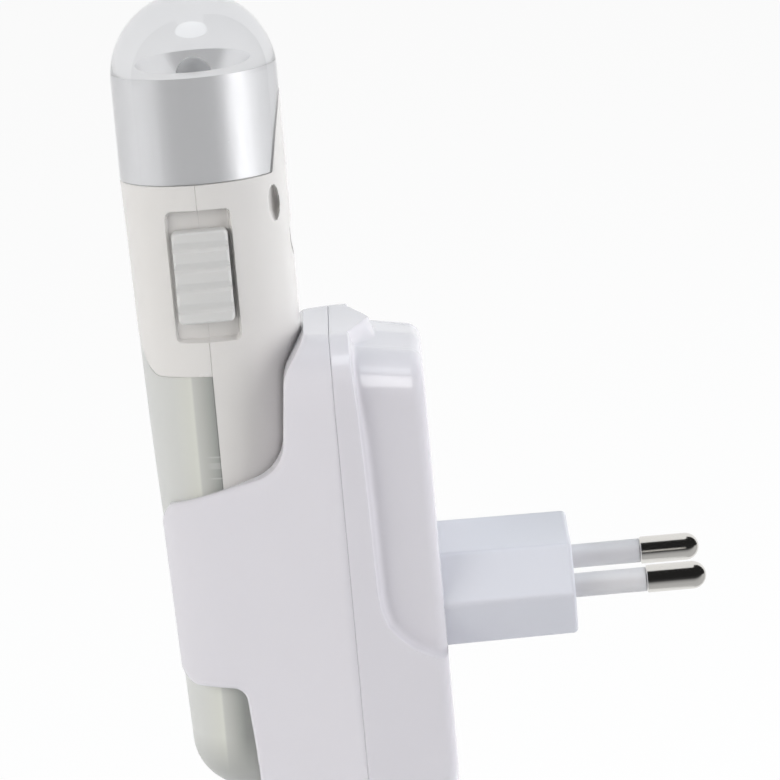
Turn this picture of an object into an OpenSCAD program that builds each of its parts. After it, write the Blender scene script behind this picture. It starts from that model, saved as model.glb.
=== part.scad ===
// Plug-in torch with night light, standing in its wall charging dock.
// X points to the wall, Z up. The origin is the centre of the plug's end face, midway between the pins.

/* [Plug] */
// Length of the pins past the plug's end face
pin_len = 19; // [17:0.5:21]
// Diameter of the bare pin ends
pin_d = 4; // [3.8:0.1:4.4]
// Distance between the pin axes
pin_spacing = 19; // [17:0.5:20]
// Length of the insulating sleeves
sleeve_len = 10.4; // [9:0.2:11.4]
// Outer diameter of the insulating sleeves
sleeve_d = 3.5; // [3.3:0.1:3.7]
// Diameter of the pin stems inside the sleeves
stem_d = 2.6; // [2:0.1:2.8]
// Length of the plug block
plug_len = 18.9; // [16:0.1:22]
// Width of the plug block over its points
plug_w = 32; // [29:0.5:33]
// Width of the plug block's flat top
plug_flat_w = 22.4; // [20:0.2:26]
// Height of the plug block
plug_h = 13.6; // [10.4:0.2:14]
// Thickness of the flange that holds the plug block from inside
flange_t = 1.8; // [1.2:0.1:2.4]
// Width of that flange beyond the block
flange_w = 1.2; // [0.8:0.1:1.4]

/* [Dock] */
// Width of the dock
dock_w = 39; // [38:0.5:42]
// Height of the dock above the plug's axis
dock_top = 40.1; // [37:0.1:44]
// Depth of the dock below the plug's axis
dock_drop = 29.2; // [28:0.1:33]
// Wall thickness of the dock
dock_wall = 1.8; // [1.4:0.1:2.2]
// Depth of the rear shell, from its back to the parting line
rear_depth = 13; // [12:0.1:16]
// Radius of the dock's upper long edges
shoulder_r = 8; // [6:0.5:9]
// Radius of the dock's lower long edges
base_r = 6; // [2:0.5:7]
// Radius of the rear shell's bottom back edge
back_r = 5; // [3:0.5:6]
// Radius of its top back edge
back_top_r = 3; // [2:0.5:5]
// Depth of the finger grip, cut into the top and the sides
grip_inset = 2; // [1.2:0.1:2.4]
// Reach of the finger grip from the back
grip_reach = 9.3; // [8:0.1:11]
// Depth of the grip's lower front corner below the plug's axis
grip_low = 2.9; // [2:0.1:6]
// Fall of the grip's lower edge towards the back
grip_fall = 5.2; // [3:0.1:7]
// Reach of the tower's front edge ahead of the parting line
tower_reach = 8.2; // [7:0.1:9]
// Height at which the tower's front edge turns back
tower_bend = 35.4; // [32:0.1:37]
// Height of the cheeks' upper edge at the front
cheek_top = 16.4; // [14:0.1:20]
// Rise of that edge from the front to the tower
cheek_rise = 5.2; // [1:0.1:6]
// Depth of the cheeks' lower edge at the front
cheek_low = 9.8; // [6:0.1:11]
// Fall of the lower edge towards the skirt
cheek_fall = 0.5; // [0.3:0.1:3]
// Wall thickness of the cheeks
cheek_wall = 1.75; // [1.4:0.05:2.2]
// Distance by which the cheeks stand ahead of the torch
cheek_lead = 0.35; // [0:0.05:0.6]
// Width of the opening between the cheeks at the front
cheek_gap = 12; // [10:0.5:13]
// Radius of the cheeks' front corners
cheek_r = 3; // [2:0.5:4]
// Reach of the skirt under the cheeks, ahead of the parting line
skirt_reach = 16.5; // [14:0.1:18]
// Thickness of the floor that the torch stands on
floor_t = 1.85; // [1.4:0.05:2.4]

/* [Torch] */
// Diameter of the head
torch_top_d = 23.9; // [22.6:0.1:25]
// Diameter of the body at its foot
torch_foot_d = 20.8; // [19.8:0.1:21.8]
// Length of the body, from its foot to the head's seam
torch_body_len = 90.3; // [88:0.1:96]
// Radius of the rounded foot
foot_r = 7.5; // [6:0.1:8.4]
// Wall thickness of the torch's shells
torch_wall = 1.5; // [1.2:0.1:1.7]
// Distance from the dock's parting line to the back of the torch
trough_setback = 4; // [3.6:0.1:5]
// Distance of the torch's parting plane ahead of the head's axis
split_lead = 1.05; // [0.6:0.05:1.5]
// Width of the tongue behind the dome
tongue_w = 14; // [12:0.1:16]
// Height of the tongue behind the dome
tongue_h = 11.2; // [9:0.1:13]
// Length of the white front shell at the sides
band_len = 27.8; // [26.4:0.1:30]
// Height of the night light's arch at the front
arch_h = 5.5; // [3:0.1:6.5]
// Width of the night light's arch
arch_w = 14.6; // [12:0.1:16]
// Height of the lanyard slot
lanyard_h = 4.8; // [4:0.1:5.2]
// Width of the lanyard slot
lanyard_w = 1.9; // [1.5:0.1:2.2]
// Distance of the lanyard slot's centre below the seam
lanyard_drop = 4.5; // [4:0.1:4.7]
// Distance of the lanyard slot's centre ahead of the back
lanyard_in = 2.1; // [1.9:0.1:2.4]

/* [Head] */
// Straight length of the clear head below its dome
head_straight = 14.2; // [13:0.1:16]
// Wall thickness of the clear head
lens_wall = 1.5; // [1.2:0.1:1.8]
// Height of the reflector's rim above the seam
rim_h = 15.3; // [14.2:0.1:16.4]
// Radius of the reflector's rounded shoulder
rim_r = 2; // [1:0.1:2.6]
// Diameter of the reflector's mouth
mouth_d = 11.2; // [9:0.1:13]
// Diameter of the head's light
led_d = 5; // [4.4:0.1:5.4]
// Height of the light's tip above the reflector's rim
led_proud = 1.9; // [1:0.1:2.6]

/* [Switch] */
// Distance of the switch's centre below the head's seam
switch_drop = 13.2; // [12.4:0.1:14]
// Width of the knob
knob_w = 8; // [7.2:0.1:8.4]
// Length of the knob
knob_len = 13.3; // [12:0.1:14]
// Height of the knob's ridges above the torch's surface
knob_proud = 1; // [0.6:0.1:1.4]
// Travel of the knob, each way
knob_travel = 2.2; // [1.6:0.1:2.4]
// Number of grooves across the knob
knob_grooves = 4; // [3:1:5]
// Distance between the grooves
groove_step = 2.95; // [2.4:0.05:3]
// Depth of the grooves
groove_depth = 0.6; // [0.3:0.05:0.8]
// Least depth of the recess that the knob slides in
recess_depth = 0.55; // [0.4:0.05:0.8]
// Room round the knob at its sides
recess_gap = 0.65; // [0.4:0.05:0.9]
// Radius of the recess's corners
recess_r = 1; // [0.6:0.1:1.5]

/* [Inside] */
// Thickness of the circuit boards
board_t = 1.2; // [0.8:0.1:1.6]
// Diameter of the rechargeable cell
cell_d = 10.5; // [9:0.1:11]
// Diameter of the charging coils' cores
core_d = 11; // [9:0.1:11.6]
// Number of night light chips
chip_count = 4; // [3:1:5]
// Diameter of the dock screws
dock_screw_d = 2.6; // [2.2:0.1:3]
// Diameter of the torch screws
torch_screw_d = 2.2; // [1.8:0.1:2.4]
// Diameter of the board screws
board_screw_d = 1.6; // [1.3:0.1:1.8]

/* [Clearances] */
// Gap along the seams between the shells
seam_gap = 0.16; // [0.1:0.02:0.24]
// Gap between the torch and its cradle
slide_gap = 0.35; // [0.25:0.05:0.6]
// Gap round the moving switch parts
switch_gap = 0.3; // [0.2:0.05:0.4]
// Gap of fixed pieces in their holes
fit_gap = 0.06; // [0.04:0.01:0.12]

/* [Hidden] */
$fn = 64;
arc_steps = 10;
curve_steps = 20;
big = 200;
lap = 1;

// Room between fixed pieces that need not touch, past the end of a screw, and round a screw's head
room = 0.3;
pilot_room = 0.5;
head_room = 0.4;
// Depth by which a boss sinks into the wall beside it
boss_sink = 0.5;

// Planes of the dock along X
rear_x = -plug_len;
part_x = rear_x - rear_depth;
rear_wall_x = rear_x - dock_wall;
base_z = -dock_drop;

// The torch's cone leans by its own half angle, so that its back stays upright
seam_r = torch_top_d / 2;
lean = atan((torch_top_d - torch_foot_d) / 2 / torch_body_len);
torch_rear_x = part_x - trough_setback;
seam_x = torch_rear_x - seam_r;
foot_z = base_z + floor_t + slide_gap;
seam_z = foot_z + torch_body_len;
dome_z = seam_z + head_straight;
split_x = seam_x - split_lead;
function axis_x(z) = seam_x + (seam_z - z) * tan(lean);
function torch_r(z) = seam_r - (seam_z - z) * tan(lean);
function torch_front_x(z) = axis_x(z) - torch_r(z);

// Seam between the front shell and the night light
band_z = seam_z - band_len;

// Screws that close the torch
low_screw_h = 6.5;
high_screw_drop = 10.3;
torch_screw_low_z = foot_z + low_screw_h;
torch_screw_high_z = seam_z - high_screw_drop;
torch_head_over = 1.3;
torch_head_d = torch_screw_d + 2 * torch_head_over;
torch_head_t = 1.6;
torch_sink = 2.8;
torch_seat_x = torch_rear_x - torch_sink;
torch_bite = 5;
torch_screw_end = split_x - torch_bite;
rear_boss_wall = 1.1;
rear_boss_d = torch_head_d + 2 * rear_boss_wall;
front_boss_d = 6;
foot_boss_d = 5.6;

// Charging coils, face to face through the trough's wall, above the lower screw
coil_low_room = 1.6;
coil_high_room = 1.7;
coil_z = torch_screw_low_z + rear_boss_d / 2 + coil_low_room + core_d / 2;
coil_pad_d = 8;
core_flange = 1.4;
core_hub_share = 0.45;
core_hub_d = core_d * core_hub_share;
winding_d = core_d - 2 * room;
pickup_x = axis_x(coil_z) + sqrt(pow(torch_r(coil_z) - torch_wall, 2) - pow(core_d / 2, 2)) - room;
pickup_len = 7;
trough_out_x = torch_rear_x + slide_gap + dock_wall;

// Switch recess and what lies behind it
switch_z = seam_z - switch_drop;
recess_w = knob_w + 2 * recess_gap;
recess_len = knob_len + 2 * knob_travel + 2 * recess_gap;
recess_edge = split_x - recess_w / 2 - axis_x(switch_z);
floor_y = sqrt(pow(torch_r(switch_z), 2) - pow(recess_edge, 2)) - recess_depth;
recess_floor = 1.2;
knob_top_y = sqrt(pow(torch_r(switch_z), 2) - pow(split_lead, 2)) + knob_proud;
lever_w = 2.4;
lever_len = 3;
lever_dip = 1.3;
switch_w = 3.9;
switch_len = 9.2;
switch_deep = 4;
switch_y = floor_y - recess_floor - switch_gap;

// Battery between its two shelves, from above the coil to below the switch
contact_t = 0.3;
contact_share = 0.35;
contact_half = cell_d * contact_share;
shelf_t = 1.5;
low_shelf_z = coil_z + core_d / 2 + coil_high_room;
high_shelf_z = switch_z - switch_len / 2 - 2 * room - shelf_t;
cell_low_z = low_shelf_z + shelf_t + contact_t;
cell_high_z = high_shelf_z - contact_t;

// Head: board on its shelf, reflector on the board
shelf_drop = 3.8;
head_shelf_z = seam_z - shelf_drop;
head_board_z = head_shelf_z + shelf_t;
head_board_top = head_board_z + board_t;
lip_t = 1;
lip_len = 2;
lip_gap = 0.1;
lip_r = seam_r - torch_wall - lip_gap;
lip_hole_r = lip_r - lip_t;
rim_z = seam_z + rim_h;
led_tip_z = rim_z + led_proud;
led_len = 7.6;
led_base_z = led_tip_z - led_len;
led_flange_w = 0.4;
led_flange_r = led_d / 2 + led_flange_w;
led_flange_t = 1;
led_lead_y = 1.27;
led_lead_d = 0.6;
neck_in = 2;
bowl_rise = 0.7;

// Circuit board of the torch, between the foot's boss and the head's shelf, and what sits on it
board_low_room = 1.7;
board_high_room = 2.4;
board_back_x = split_x - switch_w / 2;
board_front_x = board_back_x - board_t;
board_half = 6.6;
board_low_z = torch_screw_low_z + foot_boss_d / 2 + board_low_room;
board_high_z = head_shelf_z - board_high_room;
chip_t = 1;
chip_w = 3;
tray_t = 0.8;
tray_in = 1;
tray_low_z = board_low_z + tray_in;
tray_high_z = band_z - tray_in;
chip_step = (tray_high_z - tray_low_z) / chip_count;
function chip_z(i) = tray_low_z + chip_step * (i + 0.5);
cell_room = 0.8;
cell_x = board_back_x + cell_room + cell_d / 2;
nose_root = 2;

// Screws of the torch's board, in bosses on the shelves
board_boss_d = 3.8;
board_head_over = 0.6;
board_head_d = board_screw_d + 2 * board_head_over;
board_head_t = 0.7;
board_hole_len = 3.4;
board_spot_y = 4.2;
board_spot_low = low_shelf_z - board_boss_d / 2 + boss_sink;
board_spot_high = high_shelf_z + shelf_t + board_boss_d / 2 - boss_sink;
torch_board_spots = [
    [-board_spot_y, board_spot_low], [board_spot_y, board_spot_low], [board_spot_y, board_spot_high]
];

// Lanyard slot and the tunnel round it
lanyard_x = torch_rear_x - lanyard_in;
lanyard_z = seam_z - lanyard_drop;
tunnel_wall = 1.2;
tunnel_x = lanyard_x - lanyard_w / 2 - tunnel_wall;
tunnel_half = lanyard_h / 2 + tunnel_wall;

// Dock board and its fixings
post_len = 3.5;
post_d = 4.4;
post_in = 4;
post_hole_len = 3;
dock_board_edge = 1;
dock_board_drop = 14.1;
dock_board_rise = 11.2;
dock_board_back_x = rear_wall_x - post_len;
dock_board_front_x = dock_board_back_x - board_t;
dock_board_half = pin_spacing / 2 + stem_d / 2 + dock_board_edge;
dock_board_top_z = dock_top - dock_board_drop;
dock_board_low_z = base_z + dock_board_rise;
post_y = dock_board_half - post_d / 2;
post_zs = [dock_board_low_z + post_in, dock_board_top_z - post_in];
post_spots = [for (y = [-post_y, post_y], z = post_zs) [y, z]];
stem_past = 0.8;
charger_x = trough_out_x + boss_sink;

// Screws that close the dock
dock_boss_d = 6;
dock_head_over = 1.4;
dock_head_d = dock_screw_d + 2 * dock_head_over;
dock_head_t = 2;
dock_sink = 2.5;
dock_seat_x = rear_x - dock_sink;
dock_boss_y = dock_w / 2 - grip_inset - dock_wall - dock_boss_d / 2 + boss_sink;
low_spot_h = 5.7;
high_spot_drop = 9.1;
dock_screw_zs = [base_z + low_spot_h, dock_top - high_spot_drop];
dock_screw_spots = [for (y = [-dock_boss_y, dock_boss_y], z = dock_screw_zs) [y, z]];
dock_bite = 5.5;
dock_screw_end = part_x - dock_bite;

// Side outline of the dock
tower_x = part_x - tower_reach;
tower_lean = 1.3;
tower_slope = 4;
bend_r = 6;
tower_foot_r = 6;
cheek_low_r = cheek_r;
skirt_r = 2;
skirt_lean = 1.5;
skirt_foot_r = 2.5;
grip_lean = 2;
grip_corner_r = 4;
grip_x = rear_x - grip_reach;

// Parts on the dock's board: depth, width and height, then the low corner's place
film_size = [5, 10.5, 8];
film_drop = 17.5;
film_at = [-8.5, dock_board_top_z - film_drop];
rectifier_size = [2.4, 8, 6];
rectifier_drop = 26;
smoothing_d = 5;
smoothing_len = 10;
smoothing_at = [6.5, dock_board_top_z - film_drop];
fuse_d = 3;
fuse_len = 8;
fuse_drop = 6.5;
fuse_at = [-2, dock_board_top_z - fuse_drop];

// Colours
white = [0.90, 0.90, 0.91];
dock_white = [0.88, 0.88, 0.92];
frosted = [0.80, 0.82, 0.79, 0.8];
clear = [0.92, 0.94, 0.95, 0.4];
silver = [0.75, 0.75, 0.77];
nickel = [0.70, 0.68, 0.65];
green = [0.10, 0.38, 0.22];
ferrite = [0.20, 0.20, 0.21];
copper = [0.72, 0.42, 0.20];
dark = [0.15, 0.15, 0.16];

// Points of a closed outline whose corners, given as [x, y, radius], are rounded by arcs
function unit(v) = v / norm(v);
function rounded_corner(before, at, after) =
    let (p = [at.x, at.y],
         u = unit([before.x, before.y] - p),
         v = unit([after.x, after.y] - p),
         half = acos(u * v) / 2,
         reach = at[2] / tan(half),
         centre = p + unit(u + v) * at[2] / sin(half),
         first = p + u * reach - centre,
         last = p + v * reach - centre,
         start = atan2(first.y, first.x),
         swing = atan2(first.x * last.y - first.y * last.x, first * last))
    at[2] == 0 ? [p] :
    [for (i = [0:arc_steps]) let (a = start + swing * i / arc_steps) centre + at[2] * [cos(a), sin(a)]];
function rounded(corners) =
    let (n = len(corners))
    [for (i = [0:n - 1]) each rounded_corner(corners[(i + n - 1) % n], corners[i], corners[(i + 1) % n])];

// A box between two limits on each axis
module block(x, y, z) {
    translate([x[0], y[0], z[0]]) cube([x[1] - x[0], y[1] - y[0], z[1] - z[0]]);
}

// An X-Z outline carried along Y, and a Y-Z outline carried along X
module along_y(y0, y1) {
    translate([0, y1, 0]) rotate([90, 0, 0]) linear_extrude(height = y1 - y0) children();
}
module along_x(x0, x1) {
    translate([x0, 0, 0]) rotate([90, 0, 90]) linear_extrude(height = x1 - x0) children();
}

// A rod along X or along Z
module rod_x(x0, x1, spot, d) {
    translate([x0, spot[0], spot[1]]) rotate([0, 90, 0]) cylinder(h = x1 - x0, d = d);
}
module rod_z(z0, z1, spot, d) {
    translate([spot[0], spot[1], z0]) cylinder(h = z1 - z0, d = d);
}

// The torch's outer form, drawn in by inset: a cone with a rounded foot
function torch_profile(inset) =
    let (length = torch_body_len - inset,
         corner = foot_r - inset,
         wall_r = seam_r - inset / cos(lean),
         corner_w = corner - length,
         corner_r = wall_r + corner_w * tan(lean) - corner / cos(lean),
         over = 4)
    concat(
        [[0, -length]],
        [for (i = [0:arc_steps])
            let (a = -90 + (90 - lean) * i / arc_steps)
            [corner_r + corner * cos(a), corner_w + corner * sin(a)]],
        [[wall_r + over * tan(lean), over], [0, over]]
    );
module torch_form(inset) {
    translate([seam_x, 0, seam_z]) rotate([0, -lean, 0]) rotate_extrude() polygon(torch_profile(inset));
}
module torch_body() {
    intersection() {
        torch_form(0);
        block([-big, 0], [-big, big], [-big, seam_z]);
    }
}
module front_half() {
    block([-big, split_x - seam_gap / 2], [-big, big], [-big, big]);
}
module rear_half() {
    block([split_x + seam_gap / 2, 0], [-big, big], [-big, big]);
}

// The tongue's outline from behind, a parabola, grown by gap
module tongue_outline(gap) {
    half = tongue_w / 2 + gap;
    polygon([for (i = [-curve_steps:curve_steps])
        let (t = i / curve_steps) [half * t, seam_z + (tongue_h + gap) * (1 - t * t)]]);
}

// What lies under the night light's arched upper edge, seen from the front
module under_arch(shift) {
    half = arch_w / 2;
    polygon(concat(
        [[big, -big], [big, band_z + shift]],
        [for (i = [curve_steps:-1:-curve_steps])
            let (t = i / curve_steps) [half * t, band_z + shift + arch_h * pow(cos(90 * t), 2)]],
        [[-big, band_z + shift], [-big, -big]]
    ));
}

// The switch recess: its outline, the walls round it and the slot for the lever
module recess_outline(grow) {
    w = recess_w / 2 + grow;
    h = recess_len / 2 + grow;
    r = recess_r + grow;
    polygon(rounded([
        [split_x - w, switch_z - h, r], [split_x + w, switch_z - h, r],
        [split_x + w, switch_z + h, r], [split_x - w, switch_z + h, r]
    ]));
}
module recess_walls(gap) {
    along_y(-seam_r - lap, recess_floor + gap - floor_y) recess_outline(recess_floor + gap);
}
module recess_cut() {
    along_y(-big, -floor_y) recess_outline(0);
    slot_w = lever_w / 2 + switch_gap;
    slot_h = lever_len / 2 + knob_travel + switch_gap;
    block([split_x - slot_w, split_x + slot_w], [-floor_y - lap, lap - switch_y],
          [switch_z - slot_h, switch_z + slot_h]);
}

module torch_screw_spots() {
    for (z = [torch_screw_low_z, torch_screw_high_z]) translate([0, 0, z]) children();
}

module head_dome() color(clear) {
    inner_r = seam_r - lens_wall;
    difference() {
        translate([seam_x, 0, 0]) rotate_extrude() polygon(concat(
            [[seam_r, seam_z]],
            [for (i = [0:curve_steps])
                let (a = 90 * i / curve_steps) [seam_r * cos(a), dome_z + seam_r * sin(a)]],
            [for (i = [curve_steps:-1:0])
                let (a = 90 * i / curve_steps) [inner_r * cos(a), dome_z + inner_r * sin(a)]],
            [[inner_r, seam_z + lip_t], [lip_hole_r, seam_z + lip_t], [lip_hole_r, seam_z - lip_len],
             [lip_r, seam_z - lip_len], [lip_r, seam_z]]
        ));
        along_x(seam_x, 0) tongue_outline(seam_gap);
        block([tunnel_x - fit_gap, 0], [-big, big], [-big, seam_z]);
        recess_walls(fit_gap);
    }
}

module reflector() color(silver) {
    cup_r = seam_r - lens_wall - room;
    hole_r = led_d / 2 + lip_gap;
    hollow_r = led_flange_r + room;
    web_z = led_base_z + led_flange_t;
    cup_z = seam_z + lip_t + room;
    neck_r = lip_hole_r - neck_in;
    bowl_z = web_z + bowl_rise;
    translate([seam_x, 0, 0]) rotate_extrude() polygon(concat(
        [[hollow_r, head_board_top], [neck_r, head_board_top], [neck_r, cup_z], [cup_r, cup_z]],
        [for (i = [0:arc_steps])
            let (a = 90 * i / arc_steps) [cup_r - rim_r + rim_r * cos(a), rim_z - rim_r + rim_r * sin(a)]],
        [for (i = [0:arc_steps])
            let (t = 1 - i / arc_steps)
            [hole_r + (mouth_d / 2 - hole_r) * t, bowl_z + (rim_z - bowl_z) * t * t]],
        [[hole_r, web_z], [hollow_r, web_z]]
    ));
}

module head_led() color([0.85, 0.87, 0.9, 0.7]) {
    lens_r = led_d / 2;
    translate([seam_x, 0, 0]) rotate_extrude() polygon(concat(
        [[0, led_base_z], [led_flange_r, led_base_z], [led_flange_r, led_base_z + led_flange_t],
         [lens_r, led_base_z + led_flange_t]],
        [for (i = [0:arc_steps])
            let (a = 90 * i / arc_steps) [lens_r * cos(a), led_tip_z - lens_r + lens_r * sin(a)]]
    ));
    for (y = [-led_lead_y, led_lead_y])
        rod_z(head_board_top, led_base_z + led_flange_t, [seam_x, y], led_lead_d);
}

module head_board() color(green) {
    difference() {
        rod_z(head_board_z, head_board_top, [seam_x, 0], 2 * (lip_hole_r - room));
        block([tunnel_x - fit_gap, 0], [-big, big], [-big, big]);
        recess_walls(fit_gap);
    }
}

module front_shell() color(white) {
    difference() {
        intersection() {
            torch_body();
            front_half();
        }
        along_x(-big, 0) under_arch(seam_gap / 2);
        difference() {
            torch_form(torch_wall);
            recess_walls(0);
            rod_x(-big, 0, [0, torch_screw_high_z], front_boss_d);
        }
        recess_cut();
        rod_x(torch_screw_end - pilot_room, 0, [0, torch_screw_high_z], torch_screw_d + 2 * fit_gap);
    }
}

module night_diffuser() color(frosted) {
    difference() {
        intersection() {
            torch_body();
            front_half();
            along_x(-big, 0) under_arch(-seam_gap / 2);
        }
        difference() {
            torch_form(torch_wall);
            rod_x(-big, 0, [0, torch_screw_low_z], foot_boss_d);
        }
        rod_x(torch_screw_end - pilot_room, 0, [0, torch_screw_low_z], torch_screw_d + 2 * fit_gap);
    }
}

// Inner ribs of the rear shell: shelves, bosses, coil pad and lanyard tunnel
module rear_ribs() {
    for (z = [low_shelf_z, high_shelf_z, head_shelf_z])
        block([-big, 0], [-big, big], [z, z + shelf_t]);
    rod_x(pickup_x, 0, [0, coil_z], coil_pad_d);
    torch_screw_spots() rod_x(-big, 0, [0, 0], rear_boss_d);
    recess_walls(0);
    block([tunnel_x, 0], [-big, big], [lanyard_z - tunnel_half, lanyard_z + tunnel_half]);
}

// Noses of the two cell shelves, with the bosses that carry the board
module shelf_noses() {
    for (z = [low_shelf_z, high_shelf_z])
        block([board_back_x, split_x + nose_root], [-board_half, board_half], [z, z + shelf_t]);
    for (spot = torch_board_spots)
        rod_x(board_back_x, board_back_x + board_hole_len + 2 * room, spot, board_boss_d);
}

module lanyard_slot() {
    half = lanyard_h / 2;
    along_y(-big, big) {
        translate([lanyard_x - lanyard_w / 2, lanyard_z - half + lanyard_w / 2])
            square([lanyard_w, lanyard_h - lanyard_w]);
        for (s = [-1, 1])
            translate([lanyard_x, lanyard_z + s * (half - lanyard_w / 2)]) circle(d = lanyard_w);
    }
}

// The tongue behind the dome, a little thinner than the wall and rooted in it below the seam
module tongue() {
    root_len = 1;
    thin = 0.04;
    outer_r = seam_r - thin;
    inner_r = seam_r - torch_wall + thin;
    intersection() {
        difference() {
            rod_z(seam_z - root_len, dome_z, [seam_x, 0], 2 * outer_r);
            rod_z(seam_z - root_len - lap, dome_z + lap, [seam_x, 0], 2 * inner_r);
        }
        along_x(seam_x, 0) {
            tongue_outline(0);
            translate([-tongue_w / 2, seam_z - root_len]) square([tongue_w, root_len]);
        }
    }
}

// Room for the switch body, wherever a shelf comes near it
module switch_pocket() {
    half = switch_len / 2 + room;
    block([-big, board_back_x + switch_w + room], [-switch_y - switch_gap / 2, switch_deep + room - switch_y],
          [switch_z - half, switch_z + half]);
}

module rear_shell() color(white) {
    difference() {
        union() {
            difference() {
                intersection() {
                    torch_body();
                    rear_half();
                }
                difference() {
                    torch_form(torch_wall);
                    rear_ribs();
                }
            }
            tongue();
            shelf_noses();
        }
        recess_cut();
        lanyard_slot();
        switch_pocket();
        torch_screw_spots() {
            rod_x(-big, 0, [0, 0], torch_screw_d + 2 * fit_gap);
            rod_x(torch_seat_x, 0, [0, 0], torch_head_d + head_room);
        }
        for (spot = torch_board_spots)
            rod_x(board_back_x - lap, board_back_x + board_hole_len, spot, board_screw_d + 2 * fit_gap);
    }
}

module torch_board() color(green) {
    difference() {
        block([board_front_x, board_back_x], [-board_half, board_half], [board_low_z, board_high_z]);
        rod_x(-big, 0, [0, torch_screw_high_z], front_boss_d + 2 * head_room);
        for (spot = torch_board_spots) rod_x(-big, 0, spot, board_screw_d + 2 * fit_gap);
    }
}

module light_tray() color(white) {
    half = board_half - head_room;
    window = chip_w / 2 + 2 * room;
    difference() {
        block([board_front_x - tray_t, board_front_x], [-half, half], [tray_low_z, tray_high_z]);
        for (i = [0:chip_count - 1])
            block([-big, 0], [-window, window], [chip_z(i) - window, chip_z(i) + window]);
        for (spot = torch_board_spots) rod_x(-big, 0, spot, board_head_d + 2 * room);
    }
}

module night_leds() color([0.95, 0.9, 0.6]) {
    for (i = [0:chip_count - 1])
        block([board_front_x - chip_t, board_front_x], [-chip_w / 2, chip_w / 2],
              [chip_z(i) - chip_w / 2, chip_z(i) + chip_w / 2]);
}

module slide_switch() color(silver) {
    slot_w = lever_w / 2 + switch_gap;
    slot_h = lever_len / 2 + knob_travel + switch_gap;
    difference() {
        block([board_back_x, board_back_x + switch_w], [-switch_y, switch_deep - switch_y],
              [switch_z - switch_len / 2, switch_z + switch_len / 2]);
        block([split_x - slot_w, split_x + slot_w], [-switch_y - lap, lever_dip + switch_gap - switch_y],
              [switch_z - slot_h, switch_z + slot_h]);
    }
}

module switch_knob() color(white) {
    low_y = floor_y + switch_gap;
    corner_share = 0.8;
    groove_share = 0.36;
    r = recess_r * corner_share;
    w = knob_w / 2;
    h = knob_len / 2;
    groove_r = (groove_depth * groove_depth + pow(groove_step * groove_share, 2)) / (2 * groove_depth);
    difference() {
        along_y(-knob_top_y, -low_y) polygon(rounded([
            [split_x - w, switch_z - h, r], [split_x + w, switch_z - h, r],
            [split_x + w, switch_z + h, r], [split_x - w, switch_z + h, r]
        ]));
        for (i = [0:knob_grooves - 1])
            translate([split_x - knob_w, groove_depth - groove_r - knob_top_y,
                       switch_z + groove_step * (i - (knob_grooves - 1) / 2)])
                rotate([0, 90, 0]) cylinder(h = 2 * knob_w, r = groove_r);
    }
}

module switch_lever() color(dark) {
    block([split_x - lever_w / 2, split_x + lever_w / 2], [-floor_y - switch_gap, lever_dip - switch_y],
          [switch_z - lever_len / 2, switch_z + lever_len / 2]);
}

module battery_cell() color([0.2, 0.45, 0.3]) {
    rod_z(cell_low_z, cell_high_z, [cell_x, 0], cell_d);
}

module battery_contacts() color(nickel) {
    for (z = [cell_low_z - contact_t, cell_high_z])
        block([cell_x - contact_half, cell_x + contact_half], [-contact_half, contact_half],
              [z, z + contact_t]);
}

// A drum core along X between x0 and x1, and the winding round its hub
module drum_core(x0, x1) {
    rod_x(x0, x1, [0, coil_z], core_hub_d);
    rod_x(x0, x0 + core_flange, [0, coil_z], core_d);
    rod_x(x1 - core_flange, x1, [0, coil_z], core_d);
}
module drum_winding(x0, x1) {
    difference() {
        rod_x(x0 + core_flange, x1 - core_flange, [0, coil_z], winding_d);
        rod_x(x0, x1, [0, coil_z], core_hub_d + 2 * fit_gap);
    }
}
module pickup_core() color(ferrite) drum_core(pickup_x - pickup_len, pickup_x);
module pickup_winding() color(copper) drum_winding(pickup_x - pickup_len, pickup_x);
module charger_core() color(ferrite) drum_core(charger_x, dock_board_front_x);
module charger_winding() color(copper) drum_winding(charger_x, dock_board_front_x);

// A screw along X: a head of thickness head_t on its seat, and a shank on the other side of the seat
module screw(seat_x, end_x, spot, d, head_d, head_t) {
    away = seat_x > end_x ? 1 : -1;
    head_x = seat_x + away * head_t;
    rod_x(min(head_x, end_x), max(head_x, end_x), spot, d);
    rod_x(min(seat_x, head_x), max(seat_x, head_x), spot, head_d);
}
module torch_screws() color(nickel) {
    torch_screw_spots()
        screw(torch_seat_x, torch_screw_end, [0, 0], torch_screw_d, torch_head_d, torch_head_t);
}
module torch_board_screws() color(nickel) {
    for (spot = torch_board_spots)
        screw(board_front_x, board_back_x + board_hole_len - pilot_room, spot,
              board_screw_d, board_head_d, board_head_t);
}

// Side outline of the dock's front shell: tower, cheek and skirt
module front_side_outline() {
    top_x = torch_front_x(cheek_top) - cheek_lead;
    low_x = torch_front_x(-cheek_low) - cheek_lead;
    skirt_x = part_x - skirt_reach;
    polygon(rounded([
        [part_x + lap, base_z, 0],
        [part_x + lap, dock_top + lap, 0],
        [tower_x + tower_lean + tower_slope, dock_top + lap, 0],
        [tower_x + tower_lean, tower_bend, bend_r],
        [tower_x, cheek_top + cheek_rise, tower_foot_r],
        [top_x, cheek_top, cheek_r],
        [low_x, -cheek_low, cheek_low_r],
        [skirt_x, -cheek_low - cheek_fall, skirt_r],
        [skirt_x + skirt_lean, base_z, skirt_foot_r]
    ]));
}

// Side outline of the hollow in the front shell, a wall behind the tower's face and its slope
module hollow_side_outline() {
    slope_run = dock_wall / cos(atan(tower_slope / (dock_top - tower_bend)));
    polygon([
        [part_x + lap, base_z], [part_x + lap, dock_top + lap],
        [tower_x + tower_lean + tower_slope + slope_run, dock_top],
        [tower_x + tower_lean + slope_run, tower_bend], [tower_x + dock_wall, tower_bend - bend_r],
        [tower_x + dock_wall, base_z]
    ]);
}

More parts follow.
